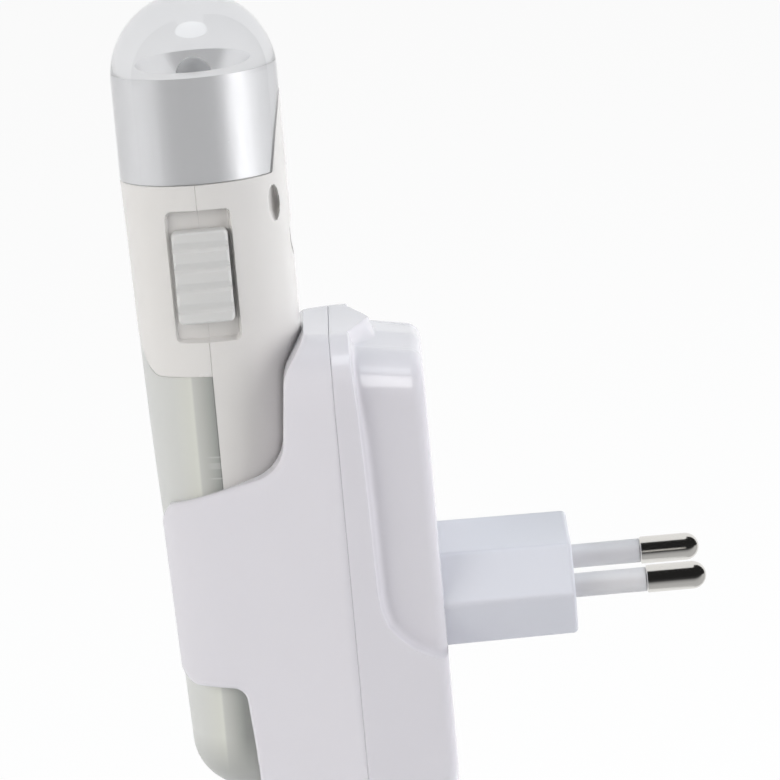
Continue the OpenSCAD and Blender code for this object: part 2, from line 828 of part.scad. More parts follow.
// End outline of the dock, seen along X, drawn in by inset
module end_outline(inset) {
    half = dock_w / 2 - inset;
    top = dock_top - inset;
    low = base_z + min(inset, dock_wall);
    corner_share = 0.6;
    upper_r = shoulder_r - inset * corner_share;
    polygon(rounded([
        [-half, low, base_r], [half, low, base_r], [half, top, upper_r], [-half, top, upper_r]
    ]));
}

// Plan of the dock's flanks, tangent to the round cheeks, drawn in by inset
module flank_plan(inset) {
    mid_z = (cheek_top - cheek_low) / 2;
    centre_x = axis_x(mid_z);
    r = torch_r(mid_z) + slide_gap + cheek_wall;
    away = [part_x - centre_x, dock_w / 2];
    slope = atan2(away.y, away.x) - asin(r / norm(away));
    edge = r - inset;
    touch = [centre_x - edge * sin(slope), edge * cos(slope)];
    wide = dock_w / 2 - inset / cos(slope);
    polygon([
        touch, [part_x, wide], [part_x + lap, wide],
        [part_x + lap, -wide], [part_x, -wide], [touch.x, -touch.y]
    ]);
}

module flank_form(inset) {
    translate([0, 0, base_z - lap]) linear_extrude(height = dock_top - base_z + 2 * lap) flank_plan(inset);
}

module dock_front() color(dock_white) {
    front_x = part_x - seam_gap / 2;
    difference() {
        intersection() {
            along_y(-dock_w, dock_w) front_side_outline();
            along_x(-big, front_x) end_outline(0);
            union() {
                torch_form(-slide_gap - cheek_wall);
                flank_form(0);
            }
        }
        difference() {
            intersection() {
                along_y(-dock_w, dock_w) hollow_side_outline();
                along_x(-big, 0) end_outline(grip_inset + dock_wall);
                flank_form(dock_wall);
            }
            torch_form(-slide_gap - dock_wall);
            for (spot = dock_screw_spots) rod_x(-big, 0, spot, dock_boss_d);
        }
        torch_form(-slide_gap);
        block([-big, seam_x], [-cheek_gap / 2, cheek_gap / 2], [-big, big]);
        for (spot = dock_screw_spots) rod_x(dock_screw_end - pilot_room, 0, spot, dock_screw_d + 2 * fit_gap);
    }
}

// Side outline of the rear shell, and of the grip that is cut from it
module rear_side_outline() {
    front_x = part_x + seam_gap / 2;
    polygon(rounded([
        [front_x, base_z, 0], [rear_x, base_z, back_r], [rear_x, dock_top - grip_inset, back_top_r],
        [grip_x, dock_top - grip_inset, 0], [grip_x, dock_top + lap, 0], [front_x, dock_top + lap, 0]
    ]));
}
module grip_side_outline() {
    polygon(rounded([
        [grip_x - grip_lean / 2, dock_top + lap, 0], [grip_x + grip_lean / 2, -grip_low, grip_corner_r],
        [rear_x + lap, -grip_low - grip_fall, 0], [rear_x + lap, dock_top + lap, 0]
    ]));
}
module plug_outline(grow) {
    half = plug_w / 2 + grow;
    flat_share = 0.5;
    flat = plug_flat_w / 2 + grow * flat_share;
    h = plug_h / 2 + grow;
    polygon([[-half, 0], [-flat, -h], [flat, -h], [half, 0], [flat, h], [-flat, h]]);
}

module dock_rear() color(dock_white) {
    difference() {
        intersection() {
            along_y(-dock_w, dock_w) rear_side_outline();
            along_x(part_x, 0) end_outline(0);
        }
        difference() {
            along_y(-dock_w, dock_w) grip_side_outline();
            along_x(-big, 0) end_outline(grip_inset);
        }
        difference() {
            along_x(part_x - lap, rear_wall_x) end_outline(grip_inset + dock_wall);
            for (spot = dock_screw_spots) rod_x(-big, 0, spot, dock_boss_d);
            for (spot = post_spots) rod_x(dock_board_back_x, 0, spot, post_d);
            along_y(-dock_w, dock_w) difference() {
                translate([-big, -big]) square(2 * big);
                back_inner_outline();
            }
        }
        along_x(rear_wall_x - lap, 0) plug_outline(fit_gap);
        for (spot = dock_screw_spots) {
            rod_x(-big, 0, spot, dock_screw_d + 2 * fit_gap);
            rod_x(dock_seat_x, 0, spot, dock_head_d + head_room);
        }
        for (spot = post_spots)
            rod_x(dock_board_back_x - lap, dock_board_back_x + post_hole_len, spot,
                  board_screw_d + 2 * fit_gap);
    }
}

// The hollow of the rear shell follows its rounded back edges
module back_inner_outline() {
    low_r = back_r - dock_wall;
    top_r = max(back_top_r - dock_wall, 0);
    top = dock_top - grip_inset - dock_wall;
    polygon(rounded([
        [-big, base_z + dock_wall, 0], [rear_wall_x, base_z + dock_wall, low_r], [rear_wall_x, top, top_r],
        [-big, top, 0]
    ]));
}

module plug_block() color(dock_white) {
    flange_half = dock_w / 2 - grip_inset - dock_wall - room;
    difference() {
        union() {
            along_x(rear_wall_x - lap / 2, 0) plug_outline(0);
            intersection() {
                along_x(rear_wall_x - flange_t, rear_wall_x) plug_outline(flange_w);
                block([-big, 0], [-flange_half, flange_half], [-big, big]);
            }
        }
        for (y = [-1, 1]) rod_x(-big, big, [y * pin_spacing / 2, 0], stem_d + 2 * fit_gap);
    }
}

module plug_pins() color(nickel) {
    tip_r = pin_d / 2;
    stem_x = dock_board_front_x - stem_past;
    for (y = [-1, 1])
        translate([0, y * pin_spacing / 2, 0]) rotate([0, 90, 0]) rotate_extrude() polygon(concat(
        [[0, stem_x], [stem_d / 2, stem_x], [stem_d / 2, sleeve_len], [tip_r, sleeve_len]],
        [for (i = [0:arc_steps])
            let (a = 90 * i / arc_steps) [tip_r * cos(a), pin_len - tip_r + tip_r * sin(a)]]
    ));
}

module pin_sleeves() color(white) {
    for (y = [-1, 1]) difference() {
        rod_x(0, sleeve_len, [y * pin_spacing / 2, 0], sleeve_d);
        rod_x(-lap, sleeve_len + lap, [y * pin_spacing / 2, 0], stem_d + 2 * fit_gap);
    }
}

module dock_board() color(green) {
    difference() {
        block([dock_board_front_x, dock_board_back_x], [-dock_board_half, dock_board_half],
              [dock_board_low_z, dock_board_top_z]);
        for (y = [-1, 1]) rod_x(-big, 0, [y * pin_spacing / 2, 0], stem_d + 2 * fit_gap);
        for (spot = post_spots) rod_x(-big, 0, spot, board_screw_d + 2 * fit_gap);
    }
}

module dock_screws() color(nickel) {
    for (spot = dock_screw_spots)
        screw(dock_seat_x, dock_screw_end, spot, dock_screw_d, dock_head_d, dock_head_t);
}
module dock_board_screws() color(nickel) {
    for (spot = post_spots)
        screw(dock_board_front_x, dock_board_back_x + post_hole_len - pilot_room, spot,
              board_screw_d, board_head_d, board_head_t);
}

// Parts that stand on the dock's board
module film_capacitor() color([0.85, 0.7, 0.15]) {
    translate([dock_board_front_x - film_size.x, film_at[0], film_at[1]]) cube(film_size);
}
module smoothing_capacitor() color(dark) {
    rod_z(smoothing_at[1], smoothing_at[1] + smoothing_len,
          [dock_board_front_x - smoothing_d / 2 - fit_gap, smoothing_at[0]], smoothing_d);
}
module rectifier() color(dark) {
    translate([dock_board_front_x - rectifier_size.x, -rectifier_size.y / 2, dock_board_top_z - rectifier_drop])
        cube(rectifier_size);
}
module fuse_resistor() color([0.3, 0.5, 0.6]) {
    translate([dock_board_front_x - fuse_d / 2 - fit_gap, fuse_at[0], fuse_at[1]])
        rotate([90, 0, 0]) cylinder(h = fuse_len, d = fuse_d, center = true);
}

head_dome();
reflector();
head_led();
head_board();
front_shell();
rear_shell();
night_diffuser();
light_tray();
torch_board();
night_leds();
slide_switch();
battery_cell();
battery_contacts();
pickup_core();
pickup_winding();
torch_screws();
torch_board_screws();
switch_knob();
switch_lever();
dock_front();
dock_rear();
plug_block();
plug_pins();
pin_sleeves();
dock_board();
charger_core();
charger_winding();
film_capacitor();
smoothing_capacitor();
rectifier();
fuse_resistor();
dock_screws();
dock_board_screws();
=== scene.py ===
import bmesh
import bpy
import numpy as np
from mathutils import Matrix, Vector


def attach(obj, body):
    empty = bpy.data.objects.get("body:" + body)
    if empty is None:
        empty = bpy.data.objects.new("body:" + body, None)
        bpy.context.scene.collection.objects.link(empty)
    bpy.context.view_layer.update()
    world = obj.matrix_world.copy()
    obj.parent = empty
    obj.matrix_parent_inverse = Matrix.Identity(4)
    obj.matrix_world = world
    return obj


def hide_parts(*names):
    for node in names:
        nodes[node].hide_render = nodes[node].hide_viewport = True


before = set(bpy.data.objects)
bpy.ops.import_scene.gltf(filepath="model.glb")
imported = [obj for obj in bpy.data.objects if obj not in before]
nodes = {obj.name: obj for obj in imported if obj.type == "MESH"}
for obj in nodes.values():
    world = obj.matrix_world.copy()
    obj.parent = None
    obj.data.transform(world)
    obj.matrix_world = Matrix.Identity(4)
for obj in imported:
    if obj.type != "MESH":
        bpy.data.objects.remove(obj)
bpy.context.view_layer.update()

mm = 0.001
quarter = np.pi / 2
print("frame loaded,", len(nodes), "nodes")


# shared helpers: all shapes are worked out in mm and put into the mesh in metres

def smooth(low, high, value):
    # 0 below low, 1 above high, an S curve between them
    t = np.clip((value - low) / (high - low), 0, 1)
    return t * t * (3 - 2 * t)


def edgeDrop(distance, radius):
    # how far a rounded edge lies under the flat surface, at a distance from the edge
    inside = np.clip(radius - distance, 0, radius)
    return radius - np.sqrt(radius * radius - inside * inside)


def unit(vectors):
    # rows scaled to length 1, zero rows stay zero
    length = np.linalg.norm(vectors, axis=-1, keepdims=True)
    return vectors / np.where(length < 1e-9, 1, length)


def spaced(start, *runs):
    # run = (end, step), each from where the last one ended: joined into one rising list of positions
    pieces = []
    for end, step in runs:
        pieces.append(np.linspace(start, end, max(2, int(np.ceil(abs(end - start) / step)) + 1)))
        start = end
    joined = np.concatenate(pieces)
    keep = np.concatenate([[True], np.abs(np.diff(joined)) > 1e-6])
    return joined[keep]


def xyz(x, y, z):
    # points from three arrays that fit together
    return np.stack(np.broadcast_arrays(x, y, z), axis=-1)


def quarterTurn(count):
    return np.linspace(0, quarter, count)


def wayAlong(path):
    # length of a path up to each of its points
    return np.concatenate([[0], np.cumsum(np.linalg.norm(np.diff(path, axis=0), axis=1))])


def boxDistance(u, v, halfU, halfV, radius):
    # signed distance to a rounded rectangle, negative inside
    a = np.abs(u) - halfU + radius
    b = np.abs(v) - halfV + radius
    outside = np.hypot(np.maximum(a, 0), np.maximum(b, 0))
    return outside + np.minimum(np.maximum(a, b), 0) - radius


def line(start, end, step):
    # points about a step apart, without the first
    return np.linspace(start, end, max(2, int(np.linalg.norm(end - start) / step) + 1))[1:]


def roundedPath(corners, step):
    # corners = (a, b, radius): straight runs joined by arcs, as points about a step apart
    p = np.array([c[:2] for c in corners], float)
    r = np.array([c[2] for c in corners], float)
    out = [p[:1]]
    last = p[0]
    for i in range(1, len(p) - 1):
        back = unit(p[i - 1] - p[i])
        on = unit(p[i + 1] - p[i])
        half = np.arccos(np.clip(back @ on, -1, 1)) / 2
        reach = r[i] / np.tan(half)
        start, end = p[i] + back * reach, p[i] + on * reach
        centre = p[i] + unit(back + on) * r[i] / np.sin(half)
        bend = 2 * (quarter - half)
        turn = np.linspace(0, 1, max(5, int(r[i] * bend / step) + 2))[:, None]
        a, b = start - centre, end - centre
        arc = centre + (a * np.sin((1 - turn) * bend) + b * np.sin(turn * bend)) / np.sin(bend)
        out += [line(last, start, step), arc[1:]]
        last = end
    return np.concatenate(out + [line(last, p[-1], step)])


def buildMesh(grids, sharp=38, fill=False):
    # grids of points are joined to one mesh: quads between neighbours, doubles merged, normals outwards
    points, quads, start = [], [], 0
    for grid in grids:
        rows, columns = grid.shape[:2]
        index = np.arange(start, start + rows * columns).reshape(rows, columns)
        corner = (index[:-1, :-1], index[1:, :-1], index[1:, 1:], index[:-1, 1:])
        quads.append(np.stack(corner, axis=-1).reshape(-1, 4))
        points.append(grid.reshape(-1, 3))
        start += rows * columns
    mesh = bpy.data.meshes.new("piece")
    mesh.from_pydata((np.concatenate(points) * mm).tolist(), [], np.concatenate(quads).tolist())
    work = bmesh.new()
    work.from_mesh(mesh)
    bmesh.ops.remove_doubles(work, verts=work.verts, dist=2e-6)
    bmesh.ops.dissolve_degenerate(work, dist=1e-7, edges=work.edges)
    if fill:
        rim = [e for e in work.edges if len(e.link_faces) == 1]
        bmesh.ops.holes_fill(work, edges=rim, sides=0)
    bmesh.ops.recalc_face_normals(work, faces=work.faces)
    work.to_mesh(mesh)
    work.free()
    mesh.shade_smooth()
    mesh.set_sharp_from_angle(angle=np.radians(sharp))
    return mesh


def walled(outer, inner):
    # outer and inner sheet with the four strips that close the wall between them
    strips = [np.stack([outer[0], inner[0]]), np.stack([outer[-1], inner[-1]]),
              np.stack([outer[:, 0], inner[:, 0]]), np.stack([outer[:, -1], inner[:, -1]])]
    return [outer, inner] + strips


def mirrored(grids):
    # the same sheets on the other side of the middle plane y = 0
    return grids + [grid * np.array([1, -1, 1]) for grid in grids]


def placed(name, data):
    # new object at the origin
    data.name = name
    thing = bpy.data.objects.new(name, data)
    bpy.context.scene.collection.objects.link(thing)
    return thing


def addPiece(name, mesh, material, body, slotName, *stoodFor):
    piece = placed(name, mesh)
    mesh.materials.append(material)
    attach(piece, body)
    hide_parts(*stoodFor)
    mesh.calc_loop_triangles()
    print(name, len(mesh.loop_triangles), "triangles")


# materials

def feed(node, values):
    # a value is a socket to link, a setting of the node or the plain value of an input
    for key, value in values.items():
        if isinstance(value, bpy.types.NodeSocket):
            node.id_data.links.new(value, node.inputs[key])
        elif isinstance(key, str) and hasattr(node, key):
            setattr(node, key, value)
        else:
            node.inputs[key].default_value = value


def addNode(tree, kind, **values):
    node = tree.nodes.new("ShaderNode" + kind)
    feed(node, values)
    return node


def newMaterial(name, values):
    material = bpy.data.materials.new(name)
    material.use_nodes = True
    tree = material.node_tree
    shader = tree.nodes["Principled BSDF"]
    feed(shader, values)
    return material, tree, shader


def toLinear(red, green, blue):
    # a colour as read off the screen, 0 to 255, to what the shader takes
    c = np.array([red, green, blue]) / 255
    c = np.where(c <= 0.04045, c / 12.92, ((c + 0.055) / 1.055) ** 2.4)
    return (float(c[0]), float(c[1]), float(c[2]), 1)


def objectPlace(tree):
    # the place on the piece, in metres
    return addNode(tree, "TexCoord").outputs["Object"]


def splitPlace(tree):
    # the same as x, y and z
    return addNode(tree, "SeparateXYZ", Vector=objectPlace(tree)).outputs


def grainNode(tree, scale, detail=3, stretch=(1, 1, 1)):
    # noise on object coordinates; scale is in features per metre
    turn = addNode(tree, "Mapping", Vector=objectPlace(tree), Scale=stretch)
    grain = addNode(tree, "TexNoise", Vector=turn.outputs["Vector"], Scale=scale, Detail=detail)
    return grain.outputs["Fac"]


def combined(tree, operation, first, second):
    node = addNode(tree, "Math", operation=operation)
    feed(node, {0: first, 1: second})
    return node.outputs[0]


def mixTint(tree, share, first, second):
    mix = addNode(tree, "Mix", data_type="RGBA", Factor=share)
    feed(mix, {6: first, 7: second})
    return mix.outputs[2]


def mixShader(tree, share, first, second):
    mix = addNode(tree, "MixShader", Fac=share)
    feed(mix, {1: first, 2: second})
    return mix.outputs[0]


def rampStops(tree, source, stops):
    # colour ramp with any number of stops (place, colour)
    ramp = addNode(tree, "ValToRGB", Fac=source)
    points = ramp.color_ramp.elements
    while len(points) < len(stops):
        points.new(0.5)
    for point, (place, colour) in zip(points, stops):
        point.position = place
    for point, (place, colour) in zip(points, stops):
        point.color = colour
    return ramp.outputs["Color"]


def greyRamp(tree, source, stops):
    return rampStops(tree, source, [(place, (grey, grey, grey, 1)) for place, grey in stops])


def mapRange(tree, source, low, high, outLow, outHigh):
    limits = {"From Min": low, "From Max": high, "To Min": outLow, "To Max": outHigh}
    return addNode(tree, "MapRange", Value=source, **limits).outputs["Result"]


def between(tree, source, low, high):
    # 0 to 1 while the source goes from low to high, in mm
    return mapRange(tree, source, low * mm, high * mm, 0, 1)


def addBump(tree, shader, source, depth):
    bump = addNode(tree, "Bump", Strength=1.0, Distance=depth * mm, Height=source)
    feed(shader, {"Normal": bump.outputs["Normal"]})


def shadeRamp(tree, source, shade, contrast):
    # the shade, a little darker where the source is low
    colour = toLinear(*shade)
    darker = tuple(c * contrast for c in colour[:3]) + (1,)
    return rampStops(tree, source, ((0.3, darker), (0.7, colour)))


def coat(tree, shader, tint, source, smoothest, roughest):
    # colour, and a roughness that wanders with the source
    feed(shader, {"Base Color": tint, "Roughness": mapRange(tree, source, 0, 1, smoothest, roughest)})


plasticSet = {"IOR": 1.49, "Subsurface Weight": 0.06, "Subsurface Radius": (1, 0.95, 0.9),
              "Subsurface Scale": 0.0015}


def mouldedPlastic(name, shade, rough, contrast=0.985, grain=9000, depth=0.006):
    # fine spark-eroded mould skin, faint clouding of the colour, gloss that wanders a little
    material, tree, shader = newMaterial(name, plasticSet)
    cloud = grainNode(tree, 90, 4)
    coat(tree, shader, shadeRamp(tree, cloud, shade, contrast), cloud, rough - 0.03, rough + 0.03)
    addBump(tree, shader, grainNode(tree, grain, 2), depth)
    return material


def brightMetal(name, shade, rough, stretch=(1, 1, 1), scale=3000, depth=0.002, contrast=0.93):
    # drawn or plated metal: fine streaks along one direction
    material, tree, shader = newMaterial(name, {"Metallic": 1})
    streak = grainNode(tree, scale, 3, stretch)
    coat(tree, shader, shadeRamp(tree, streak, shade, contrast), streak, rough * 0.8, rough * 1.25)
    addBump(tree, shader, streak, depth)
    return material


torchWhite = mouldedPlastic("torchWhite", (226, 224, 222), 0.26)
knobWhite = mouldedPlastic("knobWhite", (216, 216, 215), 0.42)
dockWhite = mouldedPlastic("dockWhite", (222, 220, 226), 0.17, 0.99, 9000, 0.002)
# the plug's white is darker and bluer than the dock's: painted shade with the blue cast of the light
plugWhiteShaded = mouldedPlastic("plugWhiteShaded", (216, 217, 225), 0.38)
sleeveWhite = mouldedPlastic("sleeveWhite", (218, 217, 220), 0.4)
pinNickel = brightMetal("pinNickel", (222, 220, 216), 0.17, (0.05, 1, 1), 3000, 0.00005, 0.97)
cupSilver = brightMetal("cupSilver", (240, 240, 242), 0.3, (1, 1, 0.2), 1200, 0.0002, 0.985)


clearSet = {"Base Color": (0.97, 0.975, 0.98, 1), "Transmission Weight": 0.87, "IOR": 1.49}


def clearPlastic():
    # clear polycarbonate: faint waviness from the mould, no colour
    material, tree, shader = newMaterial("clearPlastic", clearSet)
    wave = grainNode(tree, 160, 2)
    addBump(tree, shader, wave, 0.012)
    feed(shader, {"Roughness": mapRange(tree, wave, 0, 1, 0.02, 0.07)})
    return material


# cover colours: the darker stops towards the parting line are painted shade of the dark inside and of the
# dock's shadow
cover = dict(frontX=-60.0, splitX=-48.9,
             stops=((0, (208, 209, 208)), (0.45, (208, 209, 206)), (0.658, (213, 214, 207)),
                    (0.707, (217, 218, 211)), (0.735, (197, 198, 194)), (0.82, (187, 188, 184)),
                    (0.919, (172, 174, 170)), (1, (153, 155, 152))),
             shadeStrip=(-51.0, -50.2), barLow=19.0, barHigh=25.0,
             bars=((0.24, 0), (0.266, 0.8), (0.295, 0), (0.49, 0.05), (0.51, 0.5), (0.64, 0.5), (0.66, 0.05),
                   (0.76, 0.1), (0.79, 0.8), (0.82, 0)),
             barTint=(198, 199, 197), footShade=(-18.0, -23.5), footShadeTint=(178, 179, 176))
frostedSet = {"IOR": 1.5, "Subsurface Weight": 0.15, "Subsurface Radius": (1, 1, 0.95),
              "Subsurface Scale": 0.0015}


def frostedPlasticPaintedShade():
    # frosted cover read across x: pale front, thin lighter line, then a strip of painted shade that darkens
    # towards the parting line, standing for the dark inside and the dock's shadow; pale bars of what lies
    # inside show through the painted shade, and at the foot the strip fades into an even painted shade
    c = cover
    material, tree, shader = newMaterial("frostedPlasticPaintedShade", frostedSet)
    place = splitPlace(tree)
    across = between(tree, place["X"], c["frontX"], c["splitX"])
    # colour across x: pale front, then the painted shade that darkens towards the parting line
    tint = rampStops(tree, across, [(at, toLinear(*shade)) for at, shade in c["stops"]])
    bars = greyRamp(tree, between(tree, place["Z"], c["barLow"], c["barHigh"]), c["bars"])
    barMask = combined(tree, "MULTIPLY", bars, between(tree, place["X"], *c["shadeStrip"]))
    tint = mixTint(tree, barMask, tint, toLinear(*c["barTint"]))
    # towards the foot the colour turns to an even, darker painted shade
    tint = mixTint(tree, between(tree, place["Z"], *c["footShade"]), tint, toLinear(*c["footShadeTint"]))
    frost = grainNode(tree, 5200, 3)
    coat(tree, shader, tint, frost, 0.3, 0.44)
    addBump(tree, shader, frost, 0.006)
    return material


def bulbResin():
    # slightly cloudy resin
    material, tree, shader = newMaterial("ledResin", {"Transmission Weight": 0.35, "IOR": 1.52})
    cloud = grainNode(tree, 700, 3)
    tint = rampStops(tree, cloud, ((0.3, (0.5, 0.51, 0.53, 1)), (0.7, (0.64, 0.65, 0.67, 1))))
    coat(tree, shader, tint, cloud, 0.08, 0.16)
    return material


ledResin = bulbResin()
domeClear = clearPlastic()
coverPaintedShade = frostedPlasticPaintedShade()
print("materials of the outer pieces made")


# torch: a slim cone whose rear line is upright, with a rounded foot

torch = dict(seamZ=63.3, seamR=11.95, seamX=-47.85, lean=0.017165, footZ=-27.0, footRound=7.5,
             splitX=-48.9, footShift=2.2, shiftZ=(-6.0, 14.0), seamGap=0.02, wall=1.5, footHole=2.6,
             edgeRound=0.1, bulge=0.3, bulgeZ=30.0, bulgeReach=34.0)
recess = dict(z=50.1, halfWidth=4.65, halfHeight=9.5, corner=1.0, floorY=-9.565, draft=0.3)
lanyard = dict(x=-38.0, z=59.0, halfWidth=0.75, halfHeight=2.6, depth=2.6)
screwWell = dict(seatX=-38.7, radius=2.6, rearX=-41.0, heights=(-20.5, 53.0))
arch = dict(z=35.5, height=5.5, halfWidth=7.3)


def torchAxis(z):
    return torch["seamX"] + (torch["seamZ"] - z) * torch["lean"]


def torchRadius(z):
    return torch["seamR"] - (torch["seamZ"] - z) * torch["lean"]


def footCorner():
    # height and radius at which the rounding of the foot starts
    cornerZ = torch["footZ"] + torch["footRound"]
    return cornerZ, torchRadius(cornerZ) - torch["footRound"]


def torchRows(heights, grow=0.0, discSteps=6):
    # meridian of the cone: flat disc, quarter circle, straight side; grow draws it outwards
    radius = torch["footRound"] + grow
    cornerZ, flat = footCorner()
    angle = quarterTurn(19)
    disc = np.linspace(0, flat, discSteps)[:-1]
    rho = np.concatenate([disc, flat + radius * np.sin(angle), torchRadius(heights) + grow])
    z = np.concatenate([disc * 0 + cornerZ - radius, cornerZ - radius * np.cos(angle), heights])
    normal = np.concatenate([disc * 0, np.sin(angle), heights * 0 + 1])
    return rho, z, normal


def torchPoint(phi, rho, z):
    # phi is 0 at the rear and pi at the front; the front swells a little half way up
    lift = np.clip((z - torch["bulgeZ"]) / torch["bulgeReach"], -1, 1)
    swell = torch["bulge"] * np.cos(quarter * lift) ** 2 * (0.5 - 0.5 * np.cos(phi))
    r = rho + swell
    return xyz(torchAxis(z) + r * np.cos(phi), r * np.sin(phi), z)


def thickened(outer, phi, normal):
    # the sheet and a second one a wall's thickness further in
    inward = xyz(np.cos(phi) * normal, np.sin(phi) * normal, normal - 1)
    return walled(outer, outer - inward * torch["wall"])


def splitAngle(rho, z):
    # angle at which the parting plane cuts the cone; behind the cheeks the plane steps back
    split = torch["splitX"] + torch["footShift"] * (1 - smooth(*torch["shiftZ"], z))
    return np.arccos(np.clip((split - torchAxis(z)) / np.maximum(rho, 1e-6), -1, 1))


def pressRecess(points):
    # flat-floored pocket of the switch: points inside its outline move to the floor
    x, y, z = np.moveaxis(points, -1, 0)
    r = recess
    distance = boxDistance(x - torch["splitX"], z - r["z"], r["halfWidth"], r["halfHeight"], r["corner"])
    inside = 1 - smooth(-r["draft"], r["draft"] * 0.35, distance)
    moved = np.where(y < 0, y + (np.maximum(r["floorY"], y) - y) * inside, y)
    return xyz(x, moved, z)


def pressHoles(points):
    # lanyard slot, an oval scoop on both sides, and the two screw wells at the rear
    x, y, z = np.moveaxis(points, -1, 0)
    s = lanyard
    across = ((x - s["x"]) / s["halfWidth"]) ** 2 + ((z - s["z"]) / s["halfHeight"]) ** 2
    y = y - np.sign(y) * s["depth"] * np.sqrt(np.clip(1 - across, 0, 1))
    w = screwWell
    for height in w["heights"]:
        away = np.hypot(y, z - height)
        wellIn = (1 - smooth(w["radius"] - 0.12, w["radius"] + 0.1, away)) * (x > w["rearX"])
        x = x + (np.minimum(w["seatX"], x) - x) * wellIn
    return xyz(x, y, z)


def archHeight(phi, rho):
    # upper edge of the night light cover: raised in the middle of the front
    across = np.clip(rho * np.sin(phi) / arch["halfWidth"], -1, 1)
    return arch["z"] + arch["height"] * np.cos(quarter * across) ** 2 * (np.cos(phi) < 0)


def frontShell():
    # sheet over (share of the way from the near parting line to the far one, share of the height),
    # pocket pressed in, edges rounded
    gap = torch["seamGap"] / 2
    u = spaced(0, (0.006, 0.002), (0.15, 0.0055), (0.85, 0.016), (0.994, 0.009), (1, 0.002))[None, :]
    v = spaced(0, (0.03, 0.006), (0.15, 0.02), (0.24, 0.005), (0.8, 0.02), (0.89, 0.005), (1, 0.008))[:, None]
    top = torch["seamZ"] - gap
    z = arch["z"] + gap + v * (top - arch["z"] - gap)
    for _ in range(3):  # the split angle and the height lean on each other
        rho = torchRadius(z)
        start = splitAngle(rho, z) + gap / rho
        phi = -start - u * (2 * np.pi - 2 * start)
        low = archHeight(phi, rho) + gap
        z = low + v * (top - low)
    run = rho * (2 * np.pi - 2 * start)
    edge = np.minimum(np.minimum(u, 1 - u) * run, np.minimum(v * (top - low), (1 - v) * (top - low)))
    outer = pressRecess(torchPoint(phi, rho - edgeDrop(edge, torch["edgeRound"]), z))
    return buildMesh(thickened(outer, phi, 1))


def rearShell():
    # sheet over (share of the way round, meridian row), with pocket, slot and wells; the middle of the
    # foot is closed, and the tongue is a second sheet
    gap = torch["seamGap"] / 2
    top = torch["seamZ"]
    heights = spaced(-19.4, (-17.4, 0.25), (39.6, 0.95), (41.4, 0.16), (50.2, 0.9), (56.0, 0.25),
                     (61.6, 0.2), (63.0, 0.4), (top, 0.06))
    rho, z, normal = (a[:, None] for a in torchRows(heights, 0, 7))
    u = spaced(-1, (-0.992, 0.002), (-0.72, 0.0095), (-0.45, 0.03), (-0.2, 0.0105), (0.2, 0.0125),
               (0.45, 0.0125), (0.9, 0.03), (0.992, 0.014), (1, 0.002))[None, :]
    end = splitAngle(rho, z) - gap / np.maximum(rho, 1)
    far = 5  # mm, no edge near
    full = np.clip((torch["footHole"] - rho) / 0.05, 0, 1)
    phi = u * (end * (1 - full) + np.pi * full)
    side = (1 - np.abs(u)) * end * rho + full * far
    tongueIn = 1 - smooth(tongue["halfAngle"] - 0.05, tongue["halfAngle"] + 0.05, np.abs(phi))
    edge = np.minimum(side, (top - z) + far * tongueIn)
    drop = edgeDrop(edge, torch["edgeRound"])
    outer = pressHoles(pressRecess(torchPoint(phi, rho - drop * normal, z + drop * (1 - normal))))
    return buildMesh(thickened(outer, phi, normal) + tongueSheets())


tongue = dict(halfAngle=7 / 11.95, height=11.2, proud=0.05, wall=0.06, edgeRound=0.12)


def tongueSheets():
    # part of the head's cylinder under a parabola, a little proud of the dome, its edges rounded into it
    t, big = tongue, torch["seamR"]
    u = np.linspace(-1, 1, 49)[None, :]
    v = spaced(0, (0.94, 0.05), (1, 0.012))[:, None]
    z = torch["seamZ"] - torch["seamGap"] + v * t["height"]
    half = t["halfAngle"] * np.sqrt(np.clip(1 - v, 0, 1))
    phi = u * half
    edge = np.minimum((1 - np.abs(u)) * big * half, (1 - v) * t["height"] * 0.5)
    radii = (big + t["proud"] - edgeDrop(edge, t["edgeRound"]), big - t["wall"])
    return walled(*[xyz(torch["seamX"] + r * np.cos(phi), r * np.sin(phi), z) for r in radii])


def nightCover():
    # sheet over (share of the way round the front, meridian row) below the arch
    gap = torch["seamGap"] / 2
    u = spaced(0, (0.012, 0.003), (0.988, 0.016), (1, 0.003))[None, :]
    heights = spaced(-19.4, (35.0, 0.9), (35.42, 0.06))
    rho, z, normal = (a[:, None] for a in torchRows(heights, 0, 24))
    keep = rho[:, 0] > torch["footHole"] + 0.04
    rho, z, normal = rho[keep], z[keep], normal[keep]
    start = splitAngle(rho, z) + gap / np.maximum(rho, 1)
    phi = -start - u * (2 * np.pi - 2 * start)
    top = archHeight(phi, torchRadius(arch["z"])) - gap
    share = np.clip((z - heights[0]) / (heights[-1] - heights[0]), 0, 1)
    z = z + (top - heights[-1]) * share ** 2
    run = rho * (2 * np.pi - 2 * start)
    edge = np.minimum(np.minimum(u, 1 - u) * run, top - z)
    drop = edgeDrop(np.maximum(edge, 0), torch["edgeRound"])
    outer = torchPoint(phi, rho - drop * normal, z + drop * (1 - normal))
    return buildMesh(thickened(outer, phi, normal))


addPiece("front_shell_fine", frontShell(), torchWhite, "torch", "shell_white", "front_shell")
addPiece("rear_shell_fine", rearShell(), torchWhite, "torch", "shell_white", "rear_shell")
addPiece("night_cover_fine", nightCover(), coverPaintedShade, "torch", "frosted_plastic", "night_diffuser")
print("torch shells made")


# head: clear dome, silver reflector cup, light

